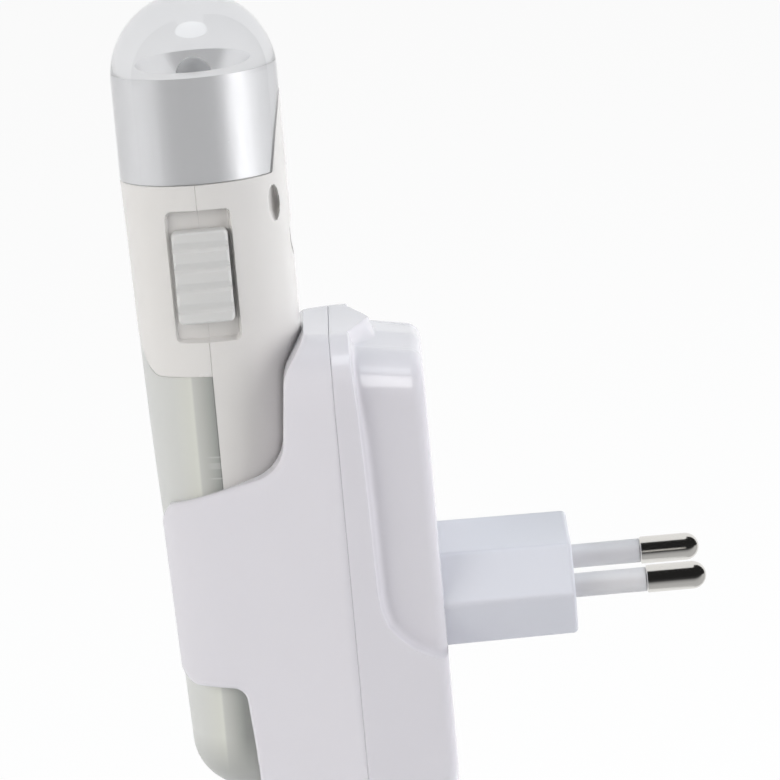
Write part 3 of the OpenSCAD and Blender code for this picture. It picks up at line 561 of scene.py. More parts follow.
head = dict(domeZ=77.5, gap=0.03, edgeRound=0.06, sleeveR=8.0, hollowLow=74.2,
            cupR=11.5, cupZ=63.4, rimZ=78.6, rimR=0.03, lip=0.5, mouthR=5.6, bowlZ=74.6, bowlDrop=0.1,
            holeR=2.05, stemR=3.4, stemZ=73.6,
            ledR=1.75, ledZ=77.4, ledBaseR=1.9, ledBaseZ=75.2, ledLowZ=74.0)


def revolved(profile, centreX, centreY, along, count=96):
    # profile (radius, height) turned about a line through the centre, along "x" or "z"
    angle = np.linspace(0, 2 * np.pi, count + 1)[None, :]
    r, h = profile[:, :1], profile[:, 1:]
    a, b = r * np.cos(angle), r * np.sin(angle)
    if along == "z":
        return xyz(centreX + a, centreY + b, h)
    return xyz(h + centreX, centreY + a, b)


def domeBody():
    # clear solid cast round cup and light: straight side and hemisphere, and a wall inside that the cup hides
    h = head
    turn = quarterTurn(41)
    foot = quarterTurn(5)
    low = torch["seamZ"] + h["gap"]
    r, big = h["edgeRound"], torch["seamR"]
    side = np.linspace(low + r, h["domeZ"], 13)[1:-1]
    outer = np.concatenate([[[h["sleeveR"], low]],
                            np.stack([big - r + r * np.sin(foot), low + r - r * np.cos(foot)], 1),
                            np.stack([big + 0 * side, side], 1),
                            np.stack([big * np.cos(turn), h["domeZ"] + big * np.sin(turn)], 1)])
    inner = np.array([[0, h["hollowLow"]], [h["sleeveR"], h["hollowLow"]], [h["sleeveR"], low]])
    outer[-1, 0] = 0
    sheets = [revolved(profile, torch["seamX"], 0, "z", 128) for profile in (outer, inner)]
    return buildMesh(sheets, 50)


def reflectorCup():
    # straight outside, nearly sharp rim, parabola bowl
    turn = quarterTurn(13)
    t = np.linspace(1, 0, 21)
    h = head
    r = h["rimR"]
    profile = np.concatenate([
        [[h["holeR"], h["stemZ"]], [h["stemR"], h["stemZ"]], [h["stemR"], h["cupZ"]], [h["cupR"], h["cupZ"]]],
        np.stack([h["cupR"] - r + r * np.cos(turn), h["rimZ"] - r + r * np.sin(turn)], 1),
        [[h["mouthR"] + h["lip"], h["rimZ"]]],
        np.stack([h["holeR"] + (h["mouthR"] - h["holeR"]) * t,
                  h["bowlZ"] + (h["rimZ"] - h["bowlDrop"] - h["bowlZ"]) * t * t], 1),
        [[h["holeR"], h["stemZ"]]]])
    return buildMesh([revolved(profile, torch["seamX"], 0, "z", 128)], 50)


def lightBulb():
    # round tip on a short cylinder with a collar
    h = head
    turn = quarterTurn(17)
    tip = np.stack([h["ledR"] * np.cos(turn), h["ledZ"] + h["ledR"] * np.sin(turn)], 1)
    tip[-1, 0] = 0
    base = [[0, h["ledLowZ"]], [h["ledBaseR"], h["ledLowZ"]], [h["ledBaseR"], h["ledBaseZ"]],
            [h["ledR"], h["ledBaseZ"]]]
    profile = np.concatenate([base, tip])
    return buildMesh([revolved(profile, torch["seamX"], 0, "z", 64)], 50)


addPiece("head_led_fine", lightBulb(), ledResin, "torch", "led_resin", "head_led")
addPiece("head_dome_fine", domeBody(), domeClear, "torch", "clear_plastic", "head_dome")
addPiece("reflector_fine", reflectorCup(), cupSilver, "torch", "metallised_plastic", "reflector")
print("head made")


# knob of the slide switch

knob = dict(x=-48.9, z=50.1, halfWidth=4.0, halfHeight=6.65, corner=0.8, topY=-12.65, baseY=-9.87,
            edgeRound=0.45, crown=0.3, grooves=4, pitch=2.95, depth=0.5, grooveOver=1.05, grooveUnder=0.5,
            grooveDrop=0.25)


def switchKnob():
    # height field over a rounded rectangle: crowned across, four grooves with a slow upper and a steep lower
    # side, rounded rim, straight skirt
    k = knob
    q = spaced(-1, (-0.9, 0.012), (0.9, 0.014), (1, 0.012))[:, None]
    p = spaced(-1, (-0.86, 0.02), (0.86, 0.07), (1, 0.02))[None, :]
    z = q * k["halfHeight"]
    bend = np.clip(np.abs(z) - (k["halfHeight"] - k["corner"]), 0, k["corner"])
    half = k["halfWidth"] - k["corner"] + np.sqrt(k["corner"] ** 2 - bend ** 2)
    x = p * half
    rim = -boxDistance(x, z, k["halfWidth"], k["halfHeight"], k["corner"])
    spot = (np.arange(k["grooves"]) - (k["grooves"] - 1) / 2) * k["pitch"]
    over = z[..., None] - spot + k["grooveDrop"]
    reach = np.where(over > 0, k["grooveOver"], k["grooveUnder"])
    groove = k["depth"] * np.max(np.cos(quarter * np.clip(np.abs(over) / reach, 0, 1)) ** 1.4, axis=-1)
    y = k["topY"] + k["crown"] * (x / k["halfWidth"]) ** 2 + np.maximum(edgeDrop(rim, k["edgeRound"]), groove)
    top = xyz(k["x"] + x, y, k["z"] + z)
    base = top.copy()
    base[..., 1] = k["baseY"]
    return buildMesh(walled(top, base), 34)


addPiece("switch_knob_fine", switchKnob(), knobWhite, "switch", "knob_white", "switch_knob")
print("knob made")


# dock: end outline (bottom flat, corner, flank, shoulder, top flat) carried along x

dock = dict(partX=-31.9, seamGap=0.02, halfWidth=19.5, topZ=40.1, shoulder=9.3, baseZ=-29.2, baseRound=8.0,
            flatSteps=60, bend=0.87, shrink=0.6)
flankHeight = dock["topZ"] - dock["shoulder"] - dock["baseZ"] - dock["baseRound"]
outlineMarks = np.cumsum([0, dock["halfWidth"] - dock["baseRound"], quarter * dock["baseRound"], flankHeight,
                          quarter * dock["shoulder"], dock["halfWidth"] - dock["shoulder"]])


def outlinePoint(stage, half, topIn=0.0, lowIn=0.0):
    # stage 0 to 5 runs from the bottom's middle to the top's middle; half is the half width there;
    # both corners are ovals a little fuller than a circle, so that they leave the flats without a break
    d = dock
    shoulder = d["shoulder"] - d["shrink"] * topIn
    base = d["baseRound"]
    low, top = d["baseZ"] + lowIn, d["topZ"] - topIn
    t = [np.clip(stage - i, 0, 1) for i in range(5)]
    rise = [np.sin(quarter * part) ** d["bend"] for part in t]
    fall = [np.sin(quarter * (1 - part)) ** d["bend"] for part in t]
    under = [stage < i for i in range(1, 5)]
    y = np.select(under, [(half - base) * t[0], half - base + base * rise[1], half + 0 * stage,
                          half - shoulder + shoulder * fall[3]], (half - shoulder) * (1 - t[4]))
    z = np.select(under, [low + 0 * stage, low + base - base * fall[1],
                          low + base + (top - shoulder - low - base) * t[2],
                          top - shoulder + shoulder * rise[3]], top + 0 * stage)
    return y, z


dockFront = dict(cheekWall=1.75, slideGap=0.35, cheekGap=12.0, edgeRound=1.0, troughRound=0.55, partRound=0.1,
                 arcColumns=22, noseGap=0.3,
                 side=[(-43.0, -29.2, 0), (-46.9, -29.2, 2.5), (-48.4, -10.3, 2.0), (-57.64, -9.8, 3.1),
                       (-58.5, 16.4, 3.0), (-40.1, 21.6, 6.0), (-38.8, 35.4, 6.0), (-35.5, 40.1, 0)])


def cheekBend(z):
    # where the straight flank starts, the cheek's circle, the angle at which they meet, the flank's length
    centre = torchAxis(z)
    radius = torchRadius(z) + dockFront["slideGap"] + dockFront["cheekWall"]
    startX = dock["partX"] - dock["seamGap"] / 2
    reach = np.hypot(startX - centre, dock["halfWidth"])
    touch = np.arctan2(dock["halfWidth"], startX - centre) + np.arccos(radius / reach)
    return startX, centre, radius, touch, np.sqrt(reach ** 2 - radius ** 2)


def flankPoint(run, along):
    # run: the way forward from the parting line, over flank and cheek; along: the way round the outline
    whole = dock["halfWidth"]
    stage = np.interp(along, outlineMarks, np.arange(6))
    startX, centre, radius, touch, straight = cheekBend(outlinePoint(stage, whole)[1])
    touchX, touchY = centre + radius * np.cos(touch), radius * np.sin(touch)
    share = np.minimum(run / straight, 1)
    turn = touch + np.maximum(run - straight, 0) / radius
    bent = run > straight
    x = np.where(bent, centre + radius * np.cos(turn), startX + (touchX - startX) * share)
    half = np.where(bent, radius * np.sin(turn), whole + (touchY - whole) * share)
    y, z = outlinePoint(stage, half)
    return xyz(x, -y, z)


def flankRun(x, z):
    # the way forward at which the flank reaches x
    startX, centre, radius, touch, straight = cheekBend(z)
    touchX = centre + radius * np.cos(touch)
    limit = np.pi - np.arcsin((dockFront["cheekGap"] / 2 + dockFront["noseGap"]) / radius)
    turn = np.minimum(np.arccos(np.clip((x - centre) / radius, -1, 1)), limit)
    return np.where(x < touchX, straight + radius * (turn - touch),
                    straight * (startX - x) / (startX - touchX))


def troughMeridian(way):
    # way from the middle of the pocket's floor: disc, quarter circle, straight side
    grow = dockFront["slideGap"]
    radius = torch["footRound"] + grow
    cornerZ, flat = footCorner()
    turn = np.clip((way - flat) / radius, 0, quarter)
    up = np.maximum(way - flat - radius * quarter, 0)
    z = cornerZ - radius * np.cos(turn) + up
    rho = np.where(way < flat, way, np.where(up > 0, torchRadius(z) + grow, flat + radius * np.sin(turn)))
    return rho, z


def troughWay(z):
    # the way along the meridian at which the pocket's side reaches z
    radius = torch["footRound"] + dockFront["slideGap"]
    cornerZ, flat = footCorner()
    turn = np.arccos(np.clip((cornerZ - z) / radius, 0, 1))
    return flat + radius * turn + np.maximum(z - cornerZ, 0)


def troughPoint(phi, way):
    rho, z = troughMeridian(way)
    return xyz(torchAxis(z) + rho * np.cos(phi), -rho * np.sin(phi), z)


def curvesTo(start, corner, end, count):
    # quadratic curve through two tangents, columns from start to end
    t = np.linspace(0, 1, count)[None, :, None]
    return start[:, None] * (1 - t) ** 2 + 2 * corner[:, None] * t * (1 - t) + end[:, None] * t ** 2


def frontRows():
    # front edge from the bottom's middle to the top's middle: outer edge, pocket edge, parting line
    d, f = dock, dockFront
    path = roundedPath(f["side"], 0.45)
    lowZ = d["baseZ"] + d["baseRound"]
    path = path[path[:, 1] > lowZ]
    path = np.vstack([[np.interp(lowZ, *roundedPath(f["side"], 0.1)[:, ::-1].T), lowZ], path])
    shoulderZ = d["topZ"] - d["shoulder"]
    bentZ = shoulderZ + d["shoulder"] * np.sin(quarter * np.linspace(0, 1, 41)) ** d["bend"]
    bentPath = np.stack([np.interp(bentZ, path[:, 1], path[:, 0]), bentZ], axis=1)
    path = np.vstack([path[path[:, 1] < shoulderZ - 0.05], bentPath])
    pathX, pathZ = path.T
    below = np.concatenate([np.linspace(0, 1, d["flatSteps"] + 1), 1 + np.linspace(0, 1, 15)[1:-1]])
    above = np.linspace(4, 5, d["flatSteps"] + 1)[1:]
    flank = (pathZ - lowZ) / (shoulderZ - lowZ)
    turn = np.arcsin(np.clip((pathZ - shoulderZ) / d["shoulder"], 0, 1) ** (1 / d["bend"])) / quarter
    rows = slice(len(below), len(below) + len(path))
    stage = np.concatenate([below, np.where(pathZ < shoulderZ, 2 + flank, 3 + turn), above])
    along = np.interp(stage, np.arange(6), outlineMarks)
    z = outlinePoint(stage, d["halfWidth"])[1]
    x = np.where(stage > 4, pathX[-1], np.interp(z, pathZ, pathX))
    x[rows] = pathX
    run = flankRun(x, z)

    # pocket edge
    cornerZ, flatR = footCorner()
    lowest = torch["footZ"] - f["slideGap"]
    pocketZ = np.where(z < cornerZ, lowest + (z - lowZ) / (cornerZ - lowZ) * (cornerZ - lowest), z)
    way = troughWay(np.maximum(pocketZ, lowest))
    way = np.where(stage < 2, flatR * stage / 2, way)
    rho, wayZ = troughMeridian(way)
    reach = np.where(stage < 2, flatR, rho)
    phi = np.arccos(np.clip((x - torchAxis(wayZ)) / np.maximum(reach, 1e-6), -1, 1))
    phi = np.where(stage <= 2, np.interp(2.001, stage, phi), phi)  # the floor ends as the flank starts
    halfGap = f["cheekGap"] / 2
    phi = np.minimum(phi, np.pi - np.arcsin(halfGap / np.maximum(rho, halfGap + 0.1)))
    phi = np.where(stage >= 4, 0, phi)

    # parting line: the same stage on flats, corner and shoulder, spread evenly over the flank
    step = wayAlong(path)
    whole = np.interp(shoulderZ, pathZ, step)
    part = along.copy()
    even = outlineMarks[2] + np.clip(step / whole, 0, 1) * (outlineMarks[3] - outlineMarks[2])
    part[rows] = np.where(pathZ < shoulderZ, even, part[rows])
    return run, along, part, phi, way, rho


def inwardNormal(a, b):
    # unit direction square to a curve, to the side of smaller a for a rising curve
    tangent = unit(np.stack([np.gradient(a), np.gradient(b)], axis=-1))
    return -tangent[:, 1], tangent[:, 0]


def dockFrontMesh():
    # each row runs from the parting line over flank, front edge and pocket wall to the pocket's middle
    f = dockFront
    run, along, part, phi, way, rho = frontRows()
    onAxis = 1e-6
    nRun, nAlong = inwardNormal(run, along)
    nArc, nWay = inwardNormal(rho * phi, way)
    outerEdge = flankPoint(run, along)
    pocketEdge = troughPoint(phi, way)
    across = pocketEdge - outerEdge
    most = np.linalg.norm(across, axis=1) * 0.48  # both roundings fit on the wall's edge
    outerR = np.minimum(f["edgeRound"], most)
    pocketR = np.minimum(f["troughRound"], most)
    bandRun = run + nRun * outerR
    bandAlong = np.clip(along + nAlong * outerR, 0, outlineMarks[-1])
    pocketPhi = np.maximum(np.where(phi > onAxis, phi + nArc * pocketR / np.maximum(rho, 1), 0), 0)
    pocketWay = np.where(phi > onAxis, np.maximum(way + nWay * pocketR, 0), way)
    toPocket = unit(across)

    # lip at the parting line, flank up to the band, nose, turn into the pocket, pocket wall
    t = spaced(0, (0.85, 0.05), (1, 0.03))[None, :]
    flank = flankPoint(f["partRound"] + t * (bandRun[:, None] - f["partRound"]),
                       part[:, None] + t * (bandAlong - part)[:, None])
    stage = np.interp(part, outlineMarks, np.arange(6))
    lipY, lipZ = outlinePoint(stage, dock["halfWidth"] - f["partRound"], f["partRound"], f["partRound"])
    lip = xyz(dock["partX"] - dock["seamGap"] / 2, -lipY, lipZ)
    mid = (lip + flank[:, 0]) / 2
    mid[:, 1:] += (flank[:, 0, 1:] - mid[:, 1:]) * 0.4
    nose = curvesTo(flank[:, -1], outerEdge, outerEdge + toPocket * outerR[:, None], 8)
    inside = troughPoint(pocketPhi, pocketWay)
    turn = curvesTo(pocketEdge - toPocket * pocketR[:, None], pocketEdge, inside, 7)
    s = np.linspace(1, 0, f["arcColumns"])[None, :]
    trough = troughPoint(pocketPhi[:, None] * s, pocketWay[:, None] + 0 * s)
    rows = np.concatenate([lip[:, None], mid[:, None], flank, nose[:, 1:], turn, trough[:, 1:]], axis=1)
    return buildMesh(mirrored([rows]), 45, True)


addPiece("dock_front_fine", dockFrontMesh(), dockWhite, "dock", "dock_white", "dock_front")
print("dock front made")


# rear shell of the dock with the stepped finger grip, screw wells in the back

dockRear = dict(rearX=-18.9, gripInset=2.0, edgeRound=0.22, fillets=(2.3, 1.4), filletZ=(26.0, 33.0),
                curve=5.2, flankTaper=0.07, topSlope=0.18, partRound=0.1,
                backRounds=(3.0, 3.0, 1.7, 1.8, 1.7, 1.5),
                edgeZ=(-7.6, -7.1, -6.7, -6.1, -4.9, -3.1, -1.4, 0.9, 3.4, 9.0, 16.0, 25.5, 31.9, 37.7),
                edgeX=(-17.4, -18.7, -19.8, -21.3, -23.6, -25.6, -27.0, -27.8, -28.1, -28.18, -28.25,
                       -28.5, -28.74, -29.06),
                edgeLimits=(-29.3, -23.6), edgeBand=0.45, filletBand=2.7,
                peakX=-25.9, peakSlope=0.31, peakBlunt=0.6, facetX=-25.5, facetY=(3.0, 9.8),
                facetCurve=1.2, leastFacet=0.5,
                wellY=12.3, wellZ=(-23.5, 29.2), wellR=1.8, wellX=-21.4)


def gripEdge(stage, y, z):
    # x of the step's upper edge: it follows the height on the flank and runs to a blunt peak on top
    r = dockRear
    side = np.interp(z, r["edgeZ"], r["edgeX"])
    top = r["peakX"] - r["peakSlope"] * np.hypot(y, r["peakBlunt"])
    return np.where(stage > 4, np.maximum(top, side), side)


def gripInset(stage, x, y, z):
    # steep riser behind the edge that runs out in a hollow fillet, a facet beside the peak, slow taper
    r = dockRear
    at = gripEdge(stage, y, z)
    above, below = (np.interp(z + step, r["edgeZ"], r["edgeX"]) for step in (0.5, -0.5))
    fall = above - below  # over 1 mm of height
    distance = (x - at) / np.hypot(1, fall)
    e = r["edgeRound"]
    past = np.where(distance > e, distance, np.clip(distance + e, 0, 2 * e) ** 2 / (4 * e))
    width = r["fillets"][0] + (r["fillets"][1] - r["fillets"][0]) * smooth(*r["filletZ"], z)
    facet = (1 - smooth(*r["facetY"], np.abs(y))) * (stage > 4)
    width = width + (np.maximum(r["facetX"] - at, r["leastFacet"]) - width) * facet
    curve = r["curve"] + (r["facetCurve"] - r["curve"]) * facet
    share = 1 - (1 - np.clip(past / width, 0, 1)) ** curve
    slope = np.interp(stage, (3, 4), (r["flankTaper"], r["topSlope"]))
    return share * (r["gripInset"] + slope * np.maximum(distance, 0))


def dockRearMesh():
    # rows go round the end outline, columns go back along x, round the rear edge and over the back
    d, r = dock, dockRear
    flank = spaced(0, (0.06, 0.006), (0.2, 0.014), (0.42, 0.0045), (0.93, 0.014), (1, 0.004))
    stage = np.concatenate([np.linspace(0, 1, d["flatSteps"] + 1), np.linspace(1, 2, 61)[1:], 2 + flank[1:],
                            np.linspace(3, 4, 49)[1:], np.linspace(4, 5, d["flatSteps"] + 1)[1:]])
    startX = d["partX"] + d["seamGap"] / 2
    backR = np.interp(stage, np.arange(6), r["backRounds"])[:, None]
    plainY, plainZ = outlinePoint(stage, d["halfWidth"])
    edge = np.clip(gripEdge(stage, plainY, plainZ), *r["edgeLimits"])[:, None]
    fore = np.concatenate([[0, 0.015, 0.04], np.linspace(0.04, 1, 9)[1:]])[None, :]
    aft = np.linspace(0, 1, 15)[None, 1:]
    near, wide = r["edgeBand"], r["filletBand"]
    x = np.concatenate([startX + fore * (edge - near - startX), edge + np.linspace(-near, near, 14)[None, 1:],
                        edge + np.linspace(near, wide, 18)[None, 1:],
                        edge + wide + aft * (r["rearX"] - backR - edge - wide)], axis=1)
    columns = x.shape[1]
    turn = quarterTurn(11)[None, 1:]
    x = np.concatenate([x, r["rearX"] - backR + backR * np.sin(turn)], axis=1)
    draw = np.concatenate([np.zeros((len(stage), columns)), backR * (1 - np.cos(turn))], axis=1)
    draw = draw + edgeDrop(x - startX, r["partRound"])
    rows = stage[:, None] + 0 * x
    inset = gripInset(rows, x, plainY[:, None], plainZ[:, None]) + draw
    y, z = outlinePoint(rows, d["halfWidth"] - inset, inset, draw)
    sides = xyz(x, -y, z)

    # back face: level rows from the rounded edge to the middle
    keep = (stage >= 1) & (stage <= 4)
    rim = sides[keep, -1]
    s = np.linspace(1, 0, d["flatSteps"] + 1)[None, :]
    backY = rim[:, 1:2] * s
    backZ = rim[:, 2:3] + 0 * s
    backX = r["rearX"] + 0 * backY
    for height in r["wellZ"]:
        away = np.hypot(backY + r["wellY"], backZ - height)
        backX = backX + (r["wellX"] - backX) * (1 - smooth(r["wellR"] - 0.1, r["wellR"] + 0.15, away))
    back = xyz(backX, backY, backZ)
    return buildMesh(mirrored([sides, back]), 45, True)


addPiece("dock_rear_fine", dockRearMesh(), dockWhite, "dock", "dock_white", "dock_rear")
print("dock rear made")


# plug: block with six sides, sleeves and pins

plug = dict(half=16.0, flatHalf=11.2, halfHeight=6.8, corner=0.7, rootX=-21.2, endRound=0.7, draft=0.15)
pins = dict(y=9.5, sleeveR=1.75, boreR=1.5, rootX=-0.4, sleeveLen=10.4, sleeveRound=0.15, sleeveGap=0.05,
            pinR=2.0, length=19.0, stemR=1.4, stemX=8.0, shoulder=0.12)


def plugLoop(inset):
    # closed outline with rounded corners, drawn in by inset
    p = plug
    lean = np.array([p["half"] - p["flatHalf"], p["halfHeight"]])
    size = np.hypot(*lean)
    away = p["half"] * p["halfHeight"] / size - inset
    high = p["halfHeight"] - inset
    side = away * size / p["halfHeight"]
    flat = (away * size - lean[0] * high) / p["halfHeight"]
    r = max(p["corner"] - inset * 0.5, 0.3)
    ring = [(0, high, 0), (flat, high, r), (side, 0, r), (flat, -high, r), (-flat, -high, r), (-side, 0, r),
            (-flat, high, r), (0, high, 0)]
    loop = roundedPath(ring, 0.7)
    way = wayAlong(loop)
    even = np.linspace(0, way[-1], 241)
    return np.stack([np.interp(even, way, values) for values in loop.T], axis=1)


def plugBlock():
    # outline carried along x, slightly smaller towards the pins, its end edge rounded
    p = plug
    r, steps = p["endRound"], 14
    turn = quarterTurn(9)[1:]
    x = np.concatenate([np.linspace(p["rootX"], -r, steps), -r * (1 - np.sin(turn))])
    inset = np.concatenate([np.linspace(0, p["draft"], steps), p["draft"] + r * (1 - np.cos(turn))])
    loops = np.stack([plugLoop(i) for i in inset])
    sides = xyz(x[:, None], loops[..., 0], loops[..., 1])
    s = np.linspace(1, 0, steps)[:, None, None]
    faces = [np.concatenate([np.full((steps, loops.shape[1], 1), at), loop[None] * s], axis=-1)
             for at, loop in ((0.0, loops[-1]), (p["rootX"], loops[0]))]
    return buildMesh([sides] + faces, 40)


def pinPair(profile):
    # the same turned profile about both pins
    return buildMesh([revolved(profile, 0, y, "x") for y in (-pins["y"], pins["y"])])


def sleeveMesh():
    n = pins
    r, bore, root = n["sleeveRound"], n["boreR"], n["rootX"]
    end = n["sleeveLen"] - n["sleeveGap"]
    turn = quarterTurn(5)
    edge = np.stack([n["sleeveR"] - r + r * np.cos(turn), end - r + r * np.sin(turn)], 1)
    profile = np.concatenate([[[bore, root], [n["sleeveR"], root]], edge, [[bore, end], [bore, root]]])
    return pinPair(profile)


def pinMesh():
    # thin stem in the sleeve, full pin with a round tip
    n = pins
    r, stem, start = n["pinR"], n["stemR"], n["sleeveLen"]
    tipX = n["length"] - r
    turn = quarterTurn(25)
    along = np.append(np.linspace(start + n["shoulder"], tipX - 0.1, 8), tipX - 0.02)
    root = [[0, n["stemX"]], [stem, n["stemX"]], [stem, start], [r - n["shoulder"], start]]
    profile = np.concatenate([root, np.stack([r + 0 * along, along], 1),
                              np.stack([r * np.cos(turn), tipX + r * np.sin(turn)], 1)])
    profile[-1, 0] = 0
    return pinPair(profile)


addPiece("plug_block_fine", plugBlock(), plugWhiteShaded, "dock", "plug_white", "plug_block")
addPiece("pin_sleeves_fine", sleeveMesh(), sleeveWhite, "dock", "sleeve_white", "pin_sleeves")
addPiece("plug_pins_fine", pinMesh(), pinNickel, "dock", "plug_nickel", "plug_pins")
print("plug made")


# pieces inside, carried over from the CAD: only their surface is made here

def copperTurns():
    # lacquered wire laid side by side along x; the copper is painted darker in the grooves between turns, a
    # painted shade
    material, tree, shader = newMaterial("copperTurns", {"Metallic": 0.85, "Roughness": 0.28})
    place = objectPlace(tree)
    turns = addNode(tree, "TexWave", bands_direction="X", Vector=place, Scale=1000, Distortion=0.4)
    wire = turns.outputs["Fac"]
    tint = rampStops(tree, wire, ((0.1, toLinear(112, 56, 30)), (0.8, toLinear(214, 128, 78))))
    feed(shader, {"Base Color": tint})
    addBump(tree, shader, wire, 0.05)
    return material


inside = (
    (mouldedPlastic("boardGreen", (46, 104, 66), 0.4, 0.8, 900, 0.01),
     ("head_board", "torch_board", "dock_board")),
    (mouldedPlastic("trayWhite", (236, 236, 232), 0.5), ("light_tray",)),
    (mouldedPlastic("chipYellow", (230, 208, 100), 0.35, 0.93), ("night_leds",)),
    (brightMetal("switchCan", (190, 192, 194), 0.3), ("slide_switch",)),
    (mouldedPlastic("cellWrap", (60, 100, 150), 0.25, 0.9), ("battery_cell",)),
    (brightMetal("contactMetal", (206, 204, 196), 0.25), ("battery_contacts",)),
    (mouldedPlastic("ferriteDark", (68, 66, 66), 0.6, 0.75, 2500, 0.02), ("pickup_core", "charger_core")),
    (copperTurns(), ("pickup_winding", "charger_winding")),
    (brightMetal("screwSteel", (176, 178, 180), 0.32),
     ("torch_screws", "torch_board_screws", "dock_screws", "dock_board_screws")),
    (mouldedPlastic("leverBlack", (36, 36, 38), 0.4, 0.85), ("switch_lever",)),
    (mouldedPlastic("capacitorYellow", (206, 160, 52), 0.35, 0.92), ("film_capacitor",)),
    (mouldedPlastic("capacitorCan", (46, 54, 76), 0.3, 0.9), ("smoothing_capacitor",)),
    (mouldedPlastic("componentBlack", (42, 42, 44), 0.45, 0.8), ("rectifier",)),
    (mouldedPlastic("resistorBlue", (96, 142, 172), 0.4, 0.9), ("fuse_resistor",)))

for paint, names in inside:
    for name in names:
        for holder in nodes[name].material_slots:
            holder.link = "OBJECT"
            holder.material = paint
print("inner pieces painted")


# stage: pale floor, soft light, camera

stageSet = dict(floorZ=-0.12, floorHalf=3, floorGlow=1.04, glowShare=0.9, worldLight=0.12)
floorSet = {"Base Color": (0.82, 0.82, 0.82, 1), "Roughness": 0.9, "Specular IOR Level": 0}
boxAim = (-0.03, 0, 0.03)
lamps = dict(
    leftBox=dict(azimuth=-60, elevation=16, distance=1.25, width=1.3, height=1.1, power=13,
                 tint=(1, 0.985, 0.965), seenBy="diffuse"),
    rightBox=dict(azimuth=64, elevation=17, distance=1.2, width=1.3, height=1.2, power=10.8,
                  tint=(1, 0.99, 1), seenBy="diffuse"),
    rearBox=dict(azimuth=115, elevation=14, distance=1.2, width=0.9, height=1.0, power=6.2,
                 tint=(0.98, 1, 1), seenBy="diffuse"),
    topBox=dict(azimuth=165, elevation=80, distance=0.9, width=0.5, height=0.4, power=1.8,
                tint=(0.78, 0.94, 1), seenBy="diffuse"),
    skyBox=dict(azimuth=4, elevation=73, distance=1, width=0.66, height=0.46, power=2.6, shape="ELLIPSE",
                tint=(0.93, 0.975, 1), seenBy="gloss", takers=("torch", "dock")),
    windowBox=dict(aim=(0.23, 0, 0.03), azimuth=0, elevation=43, distance=1.2, width=0.25, height=0.62,
                   power=3.0, tint=(1, 1, 1), seenBy="gloss", takers=("dock",)),
    bandBox=dict(azimuth=63, elevation=-4, distance=0.55, width=0.34, height=0.25, power=0.31,
                 tint=(1, 1, 1), seenBy="glass"))
glossTakers = dict(torch=("front_shell_fine", "rear_shell_fine", "night_cover_fine", "switch_knob_fine",
                          "head_dome_fine"),
                   dock=("dock_front_fine", "dock_rear_fine", "plug_block_fine", "pin_sleeves_fine"))
cameraSet = dict(right=(0.996018, -0.013958, -0.088055), up=(0.089088, 0.193758, 0.976996),
                 ahead=(-0.003424, 0.98095, -0.19423), place=(-0.02054, -0.97547, 0.22218), lens=318.0)


def whiteToCamera(tree, lit, shaded):
    # lit is what the camera, metal and glass see, shaded what lights the object
    path = addNode(tree, "LightPath").outputs
    seen = combined(tree, "MAXIMUM", path["Is Camera Ray"], path["Is Glossy Ray"])
    seen = combined(tree, "MAXIMUM", seen, path["Is Transmission Ray"])
    return mixShader(tree, seen, shaded, lit)


def makeFloor():
    g = stageSet
    side = np.linspace(-g["floorHalf"], g["floorHalf"], 13)
    mesh = buildMesh([xyz(side[:, None], side[None, :], g["floorZ"]) / mm])
    floor = placed("floor", mesh)
    material, tree, shader = newMaterial("floorWhite", floorSet)
    glow = addNode(tree, "Emission", Strength=g["floorGlow"])
    soft = mixShader(tree, g["glowShare"], shader.outputs[0], glow.outputs[0])
    surface = whiteToCamera(tree, soft, shader.outputs[0])
    feed(tree.nodes["Material Output"], {"Surface": surface})
    mesh.materials.append(material)


def makeWorld():
    world = bpy.data.worlds.new("studio")
    world.use_nodes = True
    tree = world.node_tree
    plain = tree.nodes["Background"]
    feed(plain, {"Color": (1, 1, 1, 1), "Strength": stageSet["worldLight"]})
    white = addNode(tree, "Background", Color=(1, 1, 1, 1), Strength=1)
    surface = whiteToCamera(tree, white.outputs[0], plain.outputs[0])
    feed(tree.nodes["World Output"], {"Surface": surface})
    bpy.context.scene.world = world


def takersOf(name, groups):
    # the moulded pieces that a gloss lamp shines on; the bare pins mirror nothing but the room
    takers = bpy.data.collections.new(name + "Takers")
    for group in groups:
        for pieceName in glossTakers[group]:
            takers.objects.link(bpy.data.objects[pieceName])
    return takers


def softBox(name, box):
    # lamp seen from the object under its azimuth, right of the camera, and its elevation
    lamp = bpy.data.lights.new(name, "AREA")
    lamp.shape = box.get("shape", "RECTANGLE")
    lamp.size, lamp.size_y = box["width"], box["height"]
    lamp.energy = box["power"]
    lamp.color = box["tint"]
    lampObject = placed(name, lamp)
    turn, rise = np.radians(box["azimuth"]), np.radians(box["elevation"])
    away = Vector((np.sin(turn) * np.cos(rise), -np.cos(turn) * np.cos(rise), np.sin(rise)))
    lampObject.location = Vector(box.get("aim", boxAim)) + away * box["distance"]
    lampObject.rotation_euler = (-away).to_track_quat("-Z", "Y").to_euler()
    lampObject.visible_camera = False
    seenBy = box["seenBy"]
    lampObject.visible_diffuse = seenBy == "diffuse"
    lampObject.visible_glossy = seenBy == "gloss"
    lampObject.visible_transmission = seenBy == "glass"
    if "takers" in box:
        lampObject.light_linking.receiver_collection = takersOf(name, box["takers"])


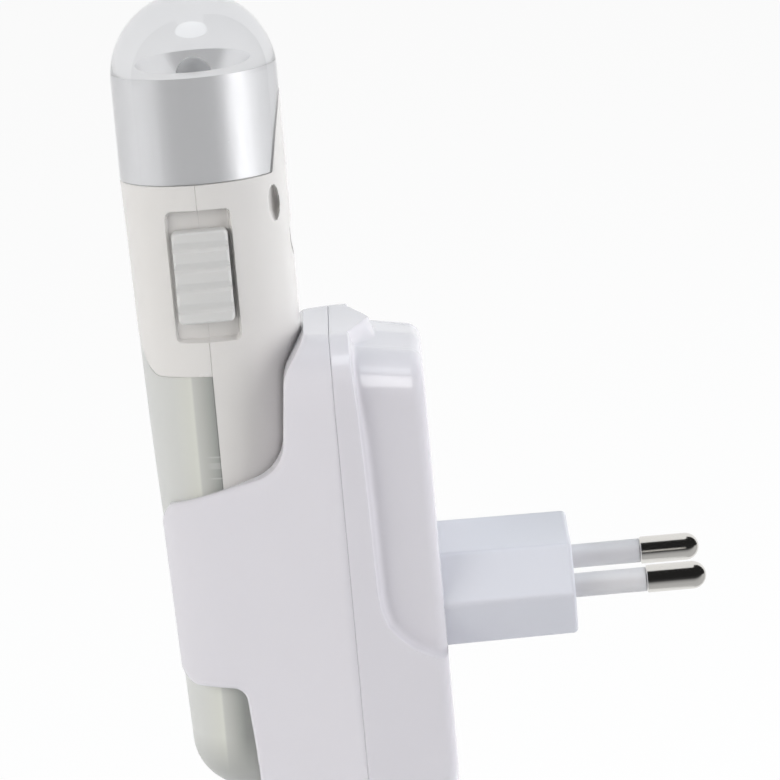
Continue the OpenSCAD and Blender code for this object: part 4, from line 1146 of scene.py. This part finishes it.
def makeCamera():
    c = cameraSet
    lens = bpy.data.cameras.new("photoView")
    lens.sensor_fit = "HORIZONTAL"
    lens.sensor_width = 36
    lens.lens = c["lens"]
    lens.clip_start = 0.05
    lens.clip_end = 50
    view = placed("photoView", lens)
    turn = Matrix((c["right"], c["up"], -Vector(c["ahead"]))).transposed()
    view.matrix_world = Matrix.Translation(c["place"]) @ turn.to_4x4()
    bpy.context.scene.camera = view


roomRim = ((0.02, -0.1), (0.3, -0.1), (1.0, -0.1), (1.6, -0.1), (1.6, 1.7), (0.6, 2.3))
roomFloor = dict(reach=(0, -1600), rise=(-50, -100))
pinRoom = dict(turns=(-95, 125), metal=True, wall=0.02,
               floorGlow=((0, 0.58), (0.06, 0.52), (0.16, 0.16), (0.22, 0.02), (1, 0.01)))
cupRoom = dict(turns=(-57, 42), metal=False, wall=0.5,
               floorGlow=((0, 0.4), (0.3, 0.1), (0.46, 0), (0.6, 0), (1, 0)))


def roomCard(name, room):
    # the room in front of the object, seen only in metal or through glass: a profile turned about the height
    angle = np.radians(np.linspace(*room["turns"], 25))[:, None]
    radius, z = np.array(roomRim).T[:, None, :]
    x, y = radius * np.sin(angle), -radius * np.cos(angle)
    mesh = buildMesh([xyz(x, y, z) / mm])
    card = placed(name, mesh)
    material, tree = newMaterial(name, {})[:2]
    place = splitPlace(tree)
    floor = greyRamp(tree, between(tree, place["Y"], *roomFloor["reach"]), room["floorGlow"])
    glow = combined(tree, "MULTIPLY", floor, between(tree, place["Z"], *roomFloor["rise"]))
    light = addNode(tree, "Emission", Strength=mapRange(tree, glow, 0, 1, room["wall"], 1))
    feed(tree.nodes["Material Output"], {"Surface": light.outputs[0]})
    mesh.materials.append(material)
    card.visible_camera = card.visible_diffuse = card.visible_shadow = False
    card.visible_glossy = room["metal"]
    card.visible_transmission = not room["metal"]


makeFloor()
makeWorld()
roomCard("pin_room", pinRoom)
roomCard("cup_room", cupRoom)
for lampName, lampSet in lamps.items():
    softBox(lampName, lampSet)
makeCamera()
bpy.context.scene.view_settings.view_transform = "Standard"
print("stage made")
